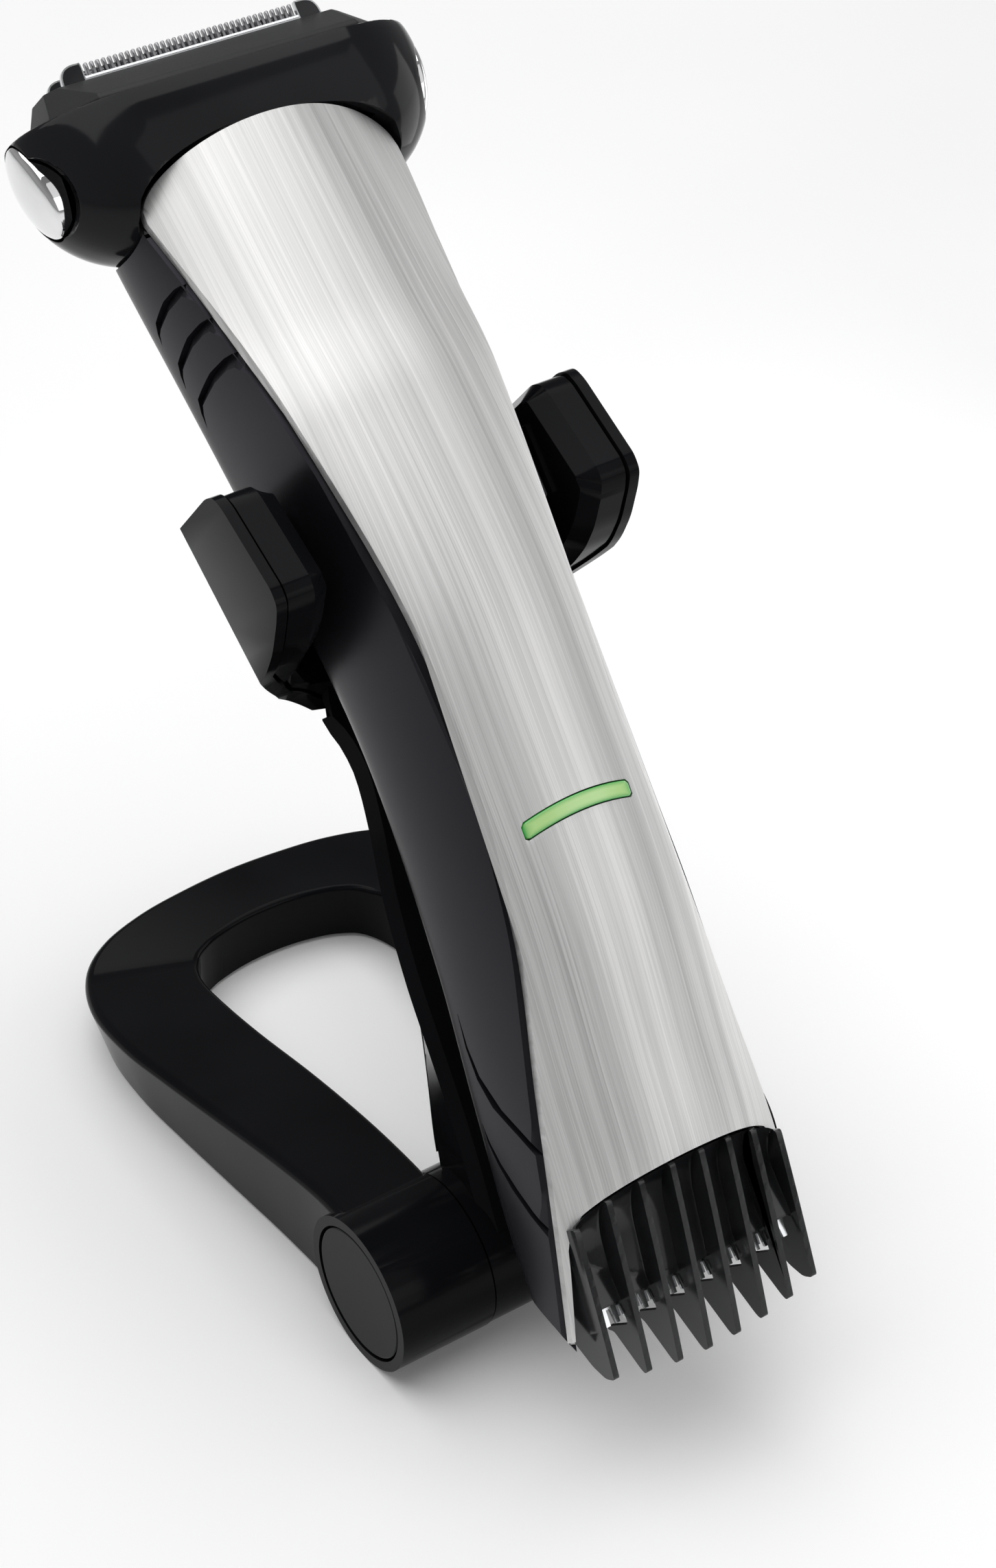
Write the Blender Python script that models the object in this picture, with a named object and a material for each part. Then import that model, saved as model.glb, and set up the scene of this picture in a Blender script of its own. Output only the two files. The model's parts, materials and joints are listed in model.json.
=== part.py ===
"""Double-ended body groomer resting in its folding charging stand.

Frame: metres, +Z up, +X to the groomer's own right (as seen from its front), -Y towards its front.
The origin is on the ground under the centre of the whole object.

All lengths below are millimetres. The groomer and the stand's arm are drawn in the groomer's frame:
x across, v up the long axis from the comb's tips, w out of the front cover.
"""

import math

import bmesh
import bpy
from mathutils import Matrix, Vector

MM = 0.001
GAP = 0.3                      # clearance between neighbouring pieces
LEAN = math.radians(43.1)      # angle between the groomer's long axis and the vertical
SHARP_ANGLE = math.radians(35)  # edges sharper than this aren't shaded smooth

# Stand: driving dimensions
HINGE_Y = -26.6                # hinge axis, from the object's centre
HINGE_R = 12.15                # knuckle radius, which is also the hinge axis's height
BARREL_R = 12.0                # the arm's barrel turns just clear of the ground
KNUCKLE_IN, KNUCKLE_OUT = 17.9, 33.5
PIN_R = 3.0
FLOOR_GAP = 0.8                # the feet hold the base this far off the ground
LEG_TOP, LEG_SLOPE, REAR_TOP = 23.2, 0.165, 10.8
REAR_Y = 94.1                  # rear of the base loop, from the hinge axis
DRAFT = 2.4                    # how far the loop's outer wall draws in towards its foot
WALL = 1.8

# Groomer: driving dimensions
TIP_Y, TIP_Z = -42.07, 19.82   # the comb's tips, from the hinge axis's foot
HEAD_HALF, HEAD_R = 31.5, 15.7
HEAD_V, HEAD_W = 182.2, -0.5
CREASE_V = 187.0               # where the pod ends and the upper frame starts
SKIN_V = 192.6                 # base line of the guard rows
COVER_T = 1.5
SHELL_T = 1.7
BUTTON_V, BUTTON_W = 180.0, -0.6
GUARD_FRONT, FOIL_W, GUARD_REAR = 0.45, -2.65, -5.75
GUARD_TEETH = 36
SEAT_V = 166.0                 # top of the handle, where the shaving head sits
TEETH, TOOTH_PITCH, TOOTH_T = 8, 4.87, 0.9
COMB_HALF = 17.8               # the cover's legs and the housing stay outside this
BAR_V, BAR_HALF, BAR_HEIGHT, BAR_BOW = 77.5, 8.5, 2.2, 1.0
ARCH_V, LEG_V = 24.0, 9.0      # the cover's lower arch, and the tips of its legs beside the comb

# Handle sections: (v, seam x, seam w, crown w, half width, w of the widest point, back w)
SECTIONS = [
    (4.0, 20.3, -6.0, 0.0, 20.6, -9.0, -14.5),
    (24.0, 18.7, 3.0, 10.4, 19.5, -8.5, -15.5),
    (43.0, 16.3, 9.3, 15.2, 18.8, -4.4, -12.5),
    (64.0, 13.6, 16.2, 20.0, 18.0, 0.3, -8.0),
    (90.0, 12.1, 19.9, 22.6, 17.2, 3.2, -6.0),
    (110.0, 12.9, 21.0, 23.6, 17.4, 2.3, -6.8),
    (137.0, 15.8, 17.9, 20.9, 18.8, -0.8, -9.5),
    (150.0, 17.0, 14.1, 18.2, 20.0, -0.8, -11.0),
    (169.0, 19.9, 7.9, 15.2, 22.0, -0.5, -12.5),
    (180.0, 21.0, 3.0, 13.6, 22.6, -0.5, -12.5),
]


# ---------------------------------------------------------------- helpers

def clear_scene():
    for obj in list(bpy.data.objects):
        bpy.data.objects.remove(obj, do_unlink=True)


def material(name, color, roughness, metallic=0.0):
    made = bpy.data.materials.new(name)
    made.use_nodes = True
    shader = made.node_tree.nodes["Principled BSDF"]
    shader.inputs["Base Color"].default_value = (*color, 1.0)
    shader.inputs["Roughness"].default_value = roughness
    shader.inputs["Metallic"].default_value = metallic
    return made


def joint_frame(name, origin, parent=None):
    """An empty on a joint's axis, aligned with the groomer's frame; origin is (x, v, w)."""
    empty = bpy.data.objects.new(name, None)
    bpy.context.scene.collection.objects.link(empty)
    empty["origin"] = origin
    if parent is None:
        tip = Vector((0, HINGE_Y + TIP_Y, TIP_Z)) * MM
        turn = Matrix.Rotation(math.pi / 2 - LEAN, 4, "X")
        empty.matrix_world = Matrix.Translation(tip) @ turn @ Matrix.Translation(Vector(origin) * MM)
    else:
        empty.parent = parent
        empty.location = (Vector(origin) - Vector(parent["origin"])) * MM
    return empty


def stand_frame():
    """An empty on the hinge axis, aligned with the world; its pieces use x, y, z from the axis's foot."""
    empty = bpy.data.objects.new("stand_base_frame", None)
    bpy.context.scene.collection.objects.link(empty)
    empty["origin"] = (0.0, 0.0, HINGE_R)
    empty.location = Vector((0, HINGE_Y, HINGE_R)) * MM
    return empty


def add(name, bm, parent, finish=None):
    """One object from a bmesh in millimetres, placed under its joint's empty."""
    bmesh.ops.remove_doubles(bm, verts=bm.verts, dist=1e-4)
    bmesh.ops.recalc_face_normals(bm, faces=bm.faces)
    bmesh.ops.translate(bm, verts=bm.verts, vec=-Vector(parent["origin"]))
    bmesh.ops.scale(bm, verts=bm.verts, vec=(MM, MM, MM))
    mesh = bpy.data.meshes.new(name)
    bm.to_mesh(mesh)
    bm.free()
    obj = bpy.data.objects.new(name, mesh)
    bpy.context.scene.collection.objects.link(obj)
    obj.parent = parent
    if finish is None:
        obj.hide_render = True
        obj.display_type = "WIRE"
    else:
        mesh.materials.append(finish)
        mesh.shade_smooth()
        mesh.set_sharp_from_angle(angle=SHARP_ANGLE)
    return obj


def combine(obj, operation, other_mesh, parent, solver="EXACT"):
    """A Boolean with a hidden helper made from other_mesh; MANIFOLD suits surfaces that nearly coincide."""
    helper = add(f"{obj.name}_helper_{len(obj.modifiers)}", other_mesh, parent)
    modifier = obj.modifiers.new(operation.title(), "BOOLEAN")
    modifier.operation = operation
    modifier.solver = solver
    modifier.object = helper


def loft(rings):
    """A closed solid through rings of equal length, capped at both ends."""
    bm = bmesh.new()
    rows = [[bm.verts.new(point) for point in ring] for ring in rings]
    count = len(rows[0])
    for low, high in zip(rows, rows[1:]):
        for i in range(count):
            j = (i + 1) % count
            bm.faces.new((low[i], low[j], high[j], high[i]))
    bm.faces.new(rows[0])
    bm.faces.new(rows[-1])
    return bm


def ring_solid(rings):
    """A closed loop of rings, the last joined to the first."""
    bm = bmesh.new()
    rows = [[bm.verts.new(point) for point in ring] for ring in rings]
    count = len(rows[0])
    for low, high in zip(rows, rows[1:] + rows[:1]):
        for i in range(count):
            j = (i + 1) % count
            bm.faces.new((low[i], low[j], high[j], high[i]))
    return bm


def place(axis, a, b, c):
    """The point at c along 'x', 'v' or 'w'; a and b are the two other coordinates in order."""
    return {"x": (c, a, b), "v": (a, c, b), "w": (a, b, c)}[axis]


def prism(outline, axis, low, high):
    """An outline extruded along an axis."""
    return loft([[place(axis, a, b, c) for a, b in outline] for c in (low, high)])


def box(x0, x1, v0, v1, w0, w1, bevel=0.0):
    bm = prism([(x0, v0), (x1, v0), (x1, v1), (x0, v1)], "w", w0, w1)
    if bevel:
        bmesh.ops.bevel(bm, geom=bm.edges[:], offset=bevel, segments=1, affect="EDGES")
    return bm


def circle(radius, count, center=(0.0, 0.0)):
    angles = [math.tau * i / count for i in range(count)]
    return [(center[0] + radius * math.cos(a), center[1] + radius * math.sin(a)) for a in angles]


def rod(radius, axis, low, high, center=(0.0, 0.0), count=24, bevel=0.0):
    bm = prism(circle(radius, count, center), axis, low, high)
    if bevel:
        ends = [f for f in bm.faces if len(f.verts) == count]
        rims = [e for f in ends for e in f.edges]
        bmesh.ops.bevel(bm, geom=rims, offset=bevel, segments=1, affect="EDGES")
    return bm


def tube(outer, inner, axis, low, high, center=(0.0, 0.0), count=24):
    rings = []
    for i in range(count):
        a = math.tau * i / count
        corners = ((outer, low), (outer, high), (inner, high), (inner, low))
        rings.append([
            place(axis, center[0] + r * math.cos(a), center[1] + r * math.sin(a), c) for r, c in corners
        ])
    return ring_solid(rings)


def smooth_step(t):
    t = min(max(t, 0.0), 1.0)
    return t * t * (3 - 2 * t)


def curve_value(rows, column, at):
    """A smooth curve through the named rows: cubic Hermite with centred slopes."""
    at = min(max(at, rows[0][0]), rows[-1][0])
    k = max(i for i in range(len(rows) - 1) if rows[i][0] <= at)
    def slope(i):
        a, b = rows[max(i - 1, 0)], rows[min(i + 1, len(rows) - 1)]
        return (b[column] - a[column]) / (b[0] - a[0])
    span = rows[k + 1][0] - rows[k][0]
    t = (at - rows[k][0]) / span
    low, high = rows[k][column], rows[k + 1][column]
    return (
        low * (1 + 2 * t) * (1 - t) ** 2 + high * t * t * (3 - 2 * t)
        + span * (slope(k) * t * (1 - t) ** 2 - slope(k + 1) * t * t * (1 - t))
    )


# ---------------------------------------------------------------- handle surfaces

def section(v):
    """Seam x, seam w, crown w, half width, widest w and back w of the handle at v."""
    return [curve_value(SECTIONS, column, v) for column in range(1, 7)]


def cover_w(x, v, drop=0.0):
    """The front cover's surface height at x, lowered by drop."""
    seam_x, seam_w, crown_w = section(v)[:3]
    return seam_w + (crown_w - seam_w) * (1 - min(abs(x / seam_x), 1.0) ** 2.2) - drop


def side_points(v, inset, count):
    """The housing's outline from the right seam round the back to the left seam."""
    seam_x, seam_w, _, half, widest_w, back_w = section(v)
    half, back_w, seam_x = half - inset, back_w + inset, seam_x - inset
    bulge = (half, widest_w + 0.45 * (seam_w - widest_w))
    points = []
    for i in range(count):
        t = i / count
        a, b, c = (1 - t) ** 2, 2 * t * (1 - t), t * t
        points.append((a * seam_x + b * bulge[0] + c * half, a * seam_w + b * bulge[1] + c * widest_w))
    for i in range(count + 1):
        t = math.pi / 2 * i / count
        power = 2 / 2.4
        points.append((
            half * math.cos(t) ** power if i < count else 0.0,
            widest_w - (widest_w - back_w) * math.sin(t) ** power,
        ))
    return points + [(-x, w) for x, w in reversed(points[:-1])]


def cover_top(t):
    """The cover's arched top edge, over the shaving head."""
    return 170.0 + 8.5 * math.sqrt(max(1 - t * t, 0.0))


def arch_v(x):
    """The arch over the comb: the cover's lower edge at x."""
    return ARCH_V + 4.0 * math.sqrt(max(1 - (x / 17.4) ** 2, 0.0))


def cover_bottom(t):
    """The cover's lower edge: the arch, and a narrow leg down each side of the comb."""
    return arch_v(cover_x(t, ARCH_V)) + (LEG_V - ARCH_V) * smooth_step((abs(t) - 0.93) / 0.025)


def cover_x(t, v):
    """Across the cover: t = 0.93 is the legs' inner edge, which runs straight beside the comb."""
    seam_x = section(v)[0]
    straight = smooth_step((50.0 - v) / 24.0)
    knee = 0.93 * seam_x * (1 - straight) + COMB_HALF * straight
    part = abs(t) / 0.93
    x = knee * part if part <= 1 else knee + (seam_x - knee) * (abs(t) - 0.93) / 0.07
    return math.copysign(x, t)


def cover_shell(inset, thickness, margin, lift=0.0, arched=True, rows=20):
    """The front cover as a shell; the other arguments make it the cutter for its neighbours."""
    across = [-1.0, -0.975, -0.955, -0.93, -0.9, -0.78, -0.6, -0.4, -0.2]
    across = across + [0.0] + [-t for t in reversed(across)]
    outer, inner = [], []
    for t in across:
        low = (cover_bottom(t) if arched else LEG_V) - margin
        high = cover_top(t) + margin
        column_out, column_in = [], []
        for i in range(rows + 1):
            v = low + (high - low) * i / rows
            x = cover_x(t, v) - inset * t
            column_out.append((x, v, cover_w(x, v, -lift)))
            column_in.append((x, v, cover_w(x, v, thickness)))
        outer.append(column_out)
        inner.append(column_in)
    return loft([o + list(reversed(i)) for o, i in zip(outer, inner)])


# ---------------------------------------------------------------- stand base

def loop_points(inset_out, inset_in):
    """Inner and outer edge of the base loop from the left leg round the rear to the right leg."""
    inner = [(18.3, 0.0), (17.5, 12.0), (17.2, 24.0), (17.5, 38.0), (18.3, 52.0), (18.5, 63.0)]
    outer = [(33.3, 0.0), (32.6, 12.0), (33.2, 24.0), (34.6, 38.0), (36.0, 52.0), (36.8, 63.0)]
    right = [((ix + inset_in, y), (ox - inset_out, y)) for (ix, y), (ox, _) in zip(inner, outer)]
    corner = [(-12, 17.9, 71.0, 36.2, 74.2), (20, 15.6, 76.6, 32.6, 83.4), (45, 12.0, 79.2, 26.8, 88.8),
              (65, 8.0, 80.5, 18.4, 92.0), (78, 4.0, 81.2, 9.4, 93.6), (90, 0.0, 81.4, 0.0, REAR_Y)]
    for angle, ix, iy, ox, oy in corner:
        nx, ny = math.cos(math.radians(angle)), math.sin(math.radians(angle))
        right.append(((ix + nx * inset_in, iy + ny * inset_in), (ox - nx * inset_out, oy - ny * inset_out)))
    left = [((-ix, iy), (-ox, oy)) for (ix, iy), (ox, oy) in right]
    return left + list(reversed(right[:-1]))


def loop_top(y):
    return max(LEG_TOP - LEG_SLOPE * max(y - 4.0, 0.0), REAR_TOP)


def loop_rings(inset, low, top_drop, chamfer, front=-1.0, end_in=0.0, draft=DRAFT):
    """Sections of the base loop: six corners each, with chamfered upper edges."""
    points = [p for p in loop_points(inset, inset) if p[0][1] >= front]
    rings = []
    for number, ((ix, iy), (ox, oy)) in enumerate(points):
        if number in (0, len(points) - 1):
            iy, oy = iy + end_in, oy + end_in
        across = Vector((ox - ix, oy - iy)).normalized()
        along, foot = across * chamfer, across * draft
        top = loop_top(0.5 * (iy + oy)) - top_drop
        rings.append([
            (ix, iy, low), (ix, iy, top - 0.6 * chamfer), (ix + 0.6 * along.x, iy + 0.6 * along.y, top),
            (ox - along.x, oy - along.y, top), (ox, oy, top - chamfer), (ox - foot.x, oy - foot.y, low),
        ])
    return rings


def loop_slab(inset, low, high, front, end_in):
    """A flat plate that follows the loop behind y = front."""
    rings = loop_rings(inset, low, 0.0, 0.0, front, end_in)
    return loft([[r[0], (r[0][0], r[0][1], high), (r[5][0], r[5][1], high), r[5]] for r in rings])


def make_base(frame, looks):
    def knuckle(side):
        return prism(circle(HINGE_R, 32, (0.0, HINGE_R)), "x", side * KNUCKLE_IN, side * KNUCKLE_OUT)

    def bore(side, radius, start, end):
        return prism(circle(radius, 24, (0.0, HINGE_R)), "x", side * start, side * end)

    base = add("stand_base_loop", loft(loop_rings(0.0, FLOOR_GAP, 0.0, 1.5)), frame, looks["gloss"])
    for side in (-1, 1):
        combine(base, "UNION", knuckle(side), frame)
    cavity = loft(loop_rings(WALL, -1.0, WALL, 1.0, front=20.0))
    combine(base, "DIFFERENCE", cavity, frame)
    for side in (-1, 1):
        combine(base, "DIFFERENCE", bore(side, PIN_R + GAP, 10.0, 40.0), frame)
        combine(base, "DIFFERENCE", bore(side, 10.6, KNUCKLE_OUT - 1.8, 40.0), frame)
    inlet_z = 5.2
    rear = REAR_Y - 0.5 * DRAFT      # the outer wall's place at the inlet's height
    combine(base, "DIFFERENCE", rod(3.2, "v", rear - 6, rear + 4, (0.0, inlet_z)), frame)
    middle_room = prism(circle(HINGE_R + 0.5, 32, (0.0, HINGE_R)), "x", -KNUCKLE_IN, KNUCKLE_IN)
    combine(base, "DIFFERENCE", middle_room, frame)
    add("stand_floor_plate", loop_slab(WALL + GAP, FLOOR_GAP, 2.0, 20.0, GAP), frame, looks["satin"])
    add("stand_ballast_bar", box(-15, 15, 83.7, 86.8, 3.0, 7.6, 0.4), frame, looks["steel"])
    inlet = add("stand_charging_inlet", tube(2.9, 2.1, "v", rear - 5.4, rear - 0.4, (0.0, inlet_z)), frame,
                looks["satin"])
    combine(inlet, "UNION", rod(2.4, "v", rear - 5.4, rear - 4.4, (0.0, inlet_z)), frame)
    pin = rod(0.6, "v", rear - 4.1, rear - 1.4, (0.0, inlet_z), 12)
    add("stand_inlet_contact_pin", pin, frame, looks["steel"])
    for name, x, y in (("front_left", -25.3, 22.0), ("front_right", 25.3, 22.0),
                       ("rear_left", -23.5, 79.0), ("rear_right", 23.5, 79.0)):
        foot = rod(3.2, "w", 0.0, FLOOR_GAP - 0.05, (x, y), 20)
        add(f"stand_foot_{name}", foot, frame, looks["rubber"])
        screw_y = y + (16.0 if y < 50 else -16.0)
        screw_x = x * 1.05
        add(f"stand_screw_{name}", rod(1.9, "w", 0.15, 0.55, (screw_x, screw_y), 16), frame, looks["steel"])
    for name, side in (("left", -1), ("right", 1)):
        cap = rod(10.3, "x", side * (KNUCKLE_OUT - 1.5), side * (KNUCKLE_OUT - 0.1), (0.0, HINGE_R), 32, 0.4)
        add(f"stand_hinge_cap_{name}", cap, frame, looks["gloss"])
    add("stand_hinge_pin", rod(PIN_R, "x", -31.0, 31.0, (0.0, HINGE_R), 24, 0.3), frame, looks["steel"])


# ---------------------------------------------------------------- stand arm

# The cradle's U, as (x, w, lean): its outer skin comes forward towards its lower edge by U_LEAN x lean.
U_SKIN = [
    (28.8, 26.0, 0.0),
    (28.8, 0.0, 1.0),
    (26.5, -4.6, 1.0),
    (21.5, -11.0, 0.5),
    (15.0, -14.6, 0.1),
    (8.0, -16.0, 0.0),
]
U_SEAT = [(20.2, 26.0), (20.2, -3.0), (16.0, -8.6), (10.0, -10.6)]
U_LEAN, U_CORNER_V = 0.222, 131.0
SPLIT_V = 101.3                # the rear cover reaches round the cradle above this


def cradle_u(outer_inset, inner_inset, low=96.0, high=136.0):
    """The U between two insets of its skin, or out to the seat when inner_inset is None."""
    def skin(inset, v):
        return [(x - inset, w + lean * U_LEAN * (U_CORNER_V - v) + 0.7 * inset) for x, w, lean in U_SKIN]

    rings = []
    for step in range(6):
        v = low + (high - low) * step / 5
        outer = skin(outer_inset, v)
        inner = U_SEAT if inner_inset is None else skin(inner_inset, v)
        right = outer + [(-x, w) for x, w in reversed(outer)]
        rings.append([(x, v, w) for x, w in right + [(-x, w) for x, w in inner] + list(reversed(inner))])
    return loft(rings)


def jaw_profile(grow):
    """The cradle seen from the side, in v and w: a raised lip where grow is positive."""
    g = grow
    return [
        (131.0 + g, -0.4), (132.4 + g, 11.6), (132.0 + g, 13.6 + g), (130.4, 15.0 + g), (118.0, 19.7 + g),
        (116.1 - g, 19.5 + g), (114.3 - g, 17.8), (111.0 - g, 12.8), (109.0 - g, 8.2), (107.9 - g, 3.6),
        (107.0 - g, -2.2), (106.2 - g, -7.3), (104.7 - g, -9.9), (102.6 - g, -12.4), (SPLIT_V, -15.0),
        (SPLIT_V, -20.0), (127.0 + g, -20.0),
    ]


# The arm: (v, half width at its front, front w, back w); it flares into the cradle
ARM = [
    (24.0, 17.6, -23.9, -40.0),
    (34.0, 17.2, -24.0, -37.5),
    (42.0, 16.0, -24.3, -35.5),
    (52.0, 14.4, -24.4, -34.2),
    (62.0, 13.2, -24.0, -33.4),
    (74.0, 11.8, -22.6, -32.0),
    (84.0, 10.9, -19.6, -29.0),
    (92.0, 11.7, -15.8, -24.8),
    (98.0, 14.0, -12.6, -20.4),
    (103.0, 16.6, -11.0, -15.7),
    (107.0, 14.5, -10.9, -14.2),
]
ARM_TAPER = 0.49               # how fast the arm narrows towards its back, above the barrel


def arm_solid(levels, cover):
    """Chamfered sections of the arm's shell, or of the cover that closes its back."""
    rings = []
    for v in levels:
        half, front, back = [curve_value(ARM, column, v) for column in (1, 2, 3)]
        near, far = (back + 0.9, back) if cover else (front, back + 2.0)
        taper = ARM_TAPER * smooth_step((v - 38.0) / 26.0)
        near_half, far_half = [half - taper * (front - w) for w in (near, far)]
        c = min(1.6, 0.3 * (near - far))
        right = [(far_half - c, v, far), (far_half, v, far + c)]
        right += [(near_half, v, near - c), (near_half - c, v, near)]
        rings.append(right + [(-x, v, w) for x, v, w in reversed(right)])
    return loft(rings)


def make_arm(frame, looks):
    axis = frame["origin"]
    center = (axis[1], axis[2])
    arm = add("stand_arm_shell", cradle_u(2.0, None), frame, looks["gloss"])
    combine(arm, "INTERSECT", prism(jaw_profile(0.0), "x", -40.0, 40.0), frame)
    combine(arm, "UNION", arm_solid((24, 31, 38, 46, 55, 65, 75, 84, 90, 95, 99, 103, 107), False), frame)
    combine(arm, "DIFFERENCE", cradle_u(-6.0, 1.9, SPLIT_V - GAP, 110.0), frame)
    barrel_half = KNUCKLE_IN - GAP
    combine(arm, "UNION", prism(circle(BARREL_R, 32, center), "x", -barrel_half, barrel_half), frame)
    combine(arm, "DIFFERENCE", prism(circle(PIN_R + GAP, 24, center), "x", -40.0, 40.0), frame)
    rear = add("stand_arm_rear_cover", cradle_u(0.0, 1.6), frame, looks["gloss"])
    combine(rear, "INTERSECT", prism(jaw_profile(0.35), "x", -40.0, 40.0), frame)
    combine(rear, "UNION", arm_solid((42, 46, 55, 65, 75, 84, 90, 95, 99, 102.6), True), frame,
            "MANIFOLD")
    for name, side in (("left", -1), ("right", 1)):
        strip = box(side * 18.9, side * 19.9, 117.6, 127.8, 6.2, 9.4, 0.15)
        add(f"stand_contact_{name}", strip, frame, looks["contact"])
    top = section(118.5)[5] - GAP
    add("stand_cradle_pad", box(-9, 9, 104.0, 118.5, -10.8 + GAP, top, 0.3), frame, looks["rubber"])


# ---------------------------------------------------------------- handle

def light_bar(grow, low, high):
    """The indicator: a band bowed along a shallow arc."""
    half = BAR_HALF + grow
    across = [half * (i / 4 - 1) for i in range(9)]
    edge = [(x, BAR_V - BAR_BOW * (x / BAR_HALF) ** 2) for x in across]
    reach = 0.5 * BAR_HEIGHT + grow
    outline = [(x, v + reach) for x, v in edge] + [(x, v - reach) for x, v in reversed(edge)]
    return prism(outline, "w", low, high)


def make_handle(frame, looks):
    def outline(v, inset, extra=0.0):
        return [(x, v, w + extra) for x, w in side_points(v, inset, 7)]

    levels = [4, 12, 20, 30, 43, 54, 66, 80, 95, 110, 124, 137, 150, SEAT_V, 172]
    shell = add("handle_rear_housing", loft([outline(v, 0.0) for v in levels]), frame, looks["grip"])
    hollow = [3.0] + levels[1:-2] + [SEAT_V - 2.5]
    rings = []
    for v in hollow:
        ring = outline(v, 1.0 + (SHELL_T - 1.0) * smooth_step((v - 26.0) / 20.0))
        ring[0] = (ring[0][0], v, ring[0][2] + 9.0)
        ring[-1] = (ring[-1][0], v, ring[-1][2] + 9.0)
        rings.append(ring)
    combine(shell, "DIFFERENCE", loft(rings), frame)
    wedge = prism([(-10.0, 2.0), (7.5, -1.5), (7.0, -4.0), (17.0, -14.0), (19.0, -30.0), (-10.0, -30.0)],
                  "x", -40.0, 40.0)
    combine(shell, "DIFFERENCE", wedge, frame)
    combine(shell, "DIFFERENCE", cover_shell(-0.5, 2.1, 0.4, 4.0, arched=False), frame)
    combine(shell, "DIFFERENCE", rod(5.0, "v", 150.0, 180.0, (0.0, 1.0)), frame)
    combine(shell, "DIFFERENCE", rod(8.6 + GAP, "v", SEAT_V - 1.9, 180.0, (0.0, 1.0), 28), frame)
    switch_hole = box(-4.4, 4.4, 118.0, 136.0, -20.0, -2.0)
    combine(shell, "DIFFERENCE", switch_hole, frame)
    combine(shell, "DIFFERENCE", pod_shape(0.4, 200.0), frame, "MANIFOLD")

    cover = add("handle_front_cover", cover_shell(0.3, COVER_T, 0.0), frame, looks["brushed"])
    combine(cover, "DIFFERENCE", light_bar(0.15, 12.0, 30.0), frame)
    add("handle_light_bar", light_bar(0.0, 18.0, 21.4), frame, looks["light"])

    add("battery_cell", rod(7.0, "v", 66.0, 114.0, (0.0, 5.8), 28, 0.6), frame, looks["battery"])
    add("circuit_board", box(-9.0, 9.0, 62.0, 116.0, 14.4, 15.6), frame, looks["board"])
    plate = add("inner_chassis", box(-8.5, 8.5, 58.0, 124.0, -3.1, -1.9), frame, looks["satin"])
    for low in (58.0, 122.0):
        combine(plate, "UNION", box(-8.5, 8.5, low, low + 2.0, -2.5, 9.0), frame)
    add("shaver_motor", rod(6.0, "v", 128.0, 152.0, (0.0, 1.0), 24, 0.5), frame, looks["steel"])
    add("trimmer_motor", rod(6.0, "v", 33.5, 55.5, (0.0, 1.0), 24, 0.5), frame, looks["steel"])
    for name, side in (("left", -1), ("right", 1)):
        v = 122.7
        x = section(v)[3] + GAP
        pad = box(side * x, side * (x + 0.4), v - 4.6, v + 4.6, 1.0, 4.0)
        add(f"charging_pad_{name}", pad, frame, looks["contact"])
    for index, v in enumerate((57.0, 146.0)):
        back = section(v)[5]
        add(f"housing_screw_{index + 1}", rod(1.6, "w", back + 2.4, back + 3.8, (0.0, v), 16), frame,
            looks["steel"])


def make_switch(frame, looks):
    back = section(127.0)[5]
    body = box(-4.0, 4.0, 122.3, 131.7, back - 1.6, back + 1.5, 0.5)
    slider = add("power_switch", body, frame, looks["satin"])
    for v in (124.6, 127.0, 129.4):
        combine(slider, "DIFFERENCE", box(-3.0, 3.0, v - 0.5, v + 0.5, back - 3.0, back - 1.1), frame)


def make_shaft(name, frame, looks, low, direction, reach):
    """A motor's eccentric: a disc with its pin, reaching into the fork that it drives."""
    x, _, w = frame["origin"]
    ends = [low, low + direction * 3.5, low + direction * reach]
    disc = rod(3.0, "v", ends[0], ends[1], (x, w), 20)
    shaft = add(name, disc, frame, looks["steel"])
    combine(shaft, "UNION", rod(0.9, "v", ends[1] - direction, ends[2], (x + 1.2, w), 12), frame)


# ---------------------------------------------------------------- trimmer end

def toothed_plate(half, root, plate, tip, low, high, pitch, width):
    """A blade: a plate from v = plate down to root, with teeth on to tip."""
    outline = [(-half, plate), (-half, root)]
    count = int(2 * half / pitch)
    start = -0.5 * (count - 1) * pitch
    for i in range(count):
        x = start + i * pitch
        outline += [(x - width / 2, root), (x - width / 3, tip), (x + width / 3, tip), (x + width / 2, root)]
    outline += [(half, root), (half, plate)]
    return prism(outline, "w", low, high)


def make_trimmer(handle, blade, looks):
    block = prism([(30.5, -9.5), (30.5, 5.0), (22.0, 1.4), (19.4, -0.3), (19.4, -1.9), (13.0, -1.9),
                   (12.0, -4.4), (19.0, -9.0)], "x", -15.6, 15.6)
    base = add("trimmer_base", block, handle, looks["satin"])
    combine(base, "DIFFERENCE", box(-6.2, 6.2, 17.0, 32.0, -2.2, 8.0), handle)
    fixed = toothed_plate(16.0, 11.6, 18.8, 9.4, -0.6, 0.0, 1.6, 1.0)
    add("trimmer_fixed_blade", fixed, handle, looks["steel"])
    moving = toothed_plate(14.0, 11.8, 18.6, 9.9, -1.5, -0.9, 1.6, 1.0)
    fork = add("trimmer_moving_blade", moving, blade, looks["steel"])
    combine(fork, "UNION", box(-4.6, 4.6, 18.0, 20.4, -1.5, -0.9), blade)
    for side in (-1, 1):
        combine(fork, "UNION", box(side * 3.5, side * 4.6, 19.2, 26.0, -1.5, 2.6), blade)


def comb_top(x):
    return arch_v(x) - 0.9


def comb_tip(x):
    """The tips follow a shallow arc: the outer teeth are shorter."""
    return 0.4 + 2.1 * (x / 17.3) ** 2


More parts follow.
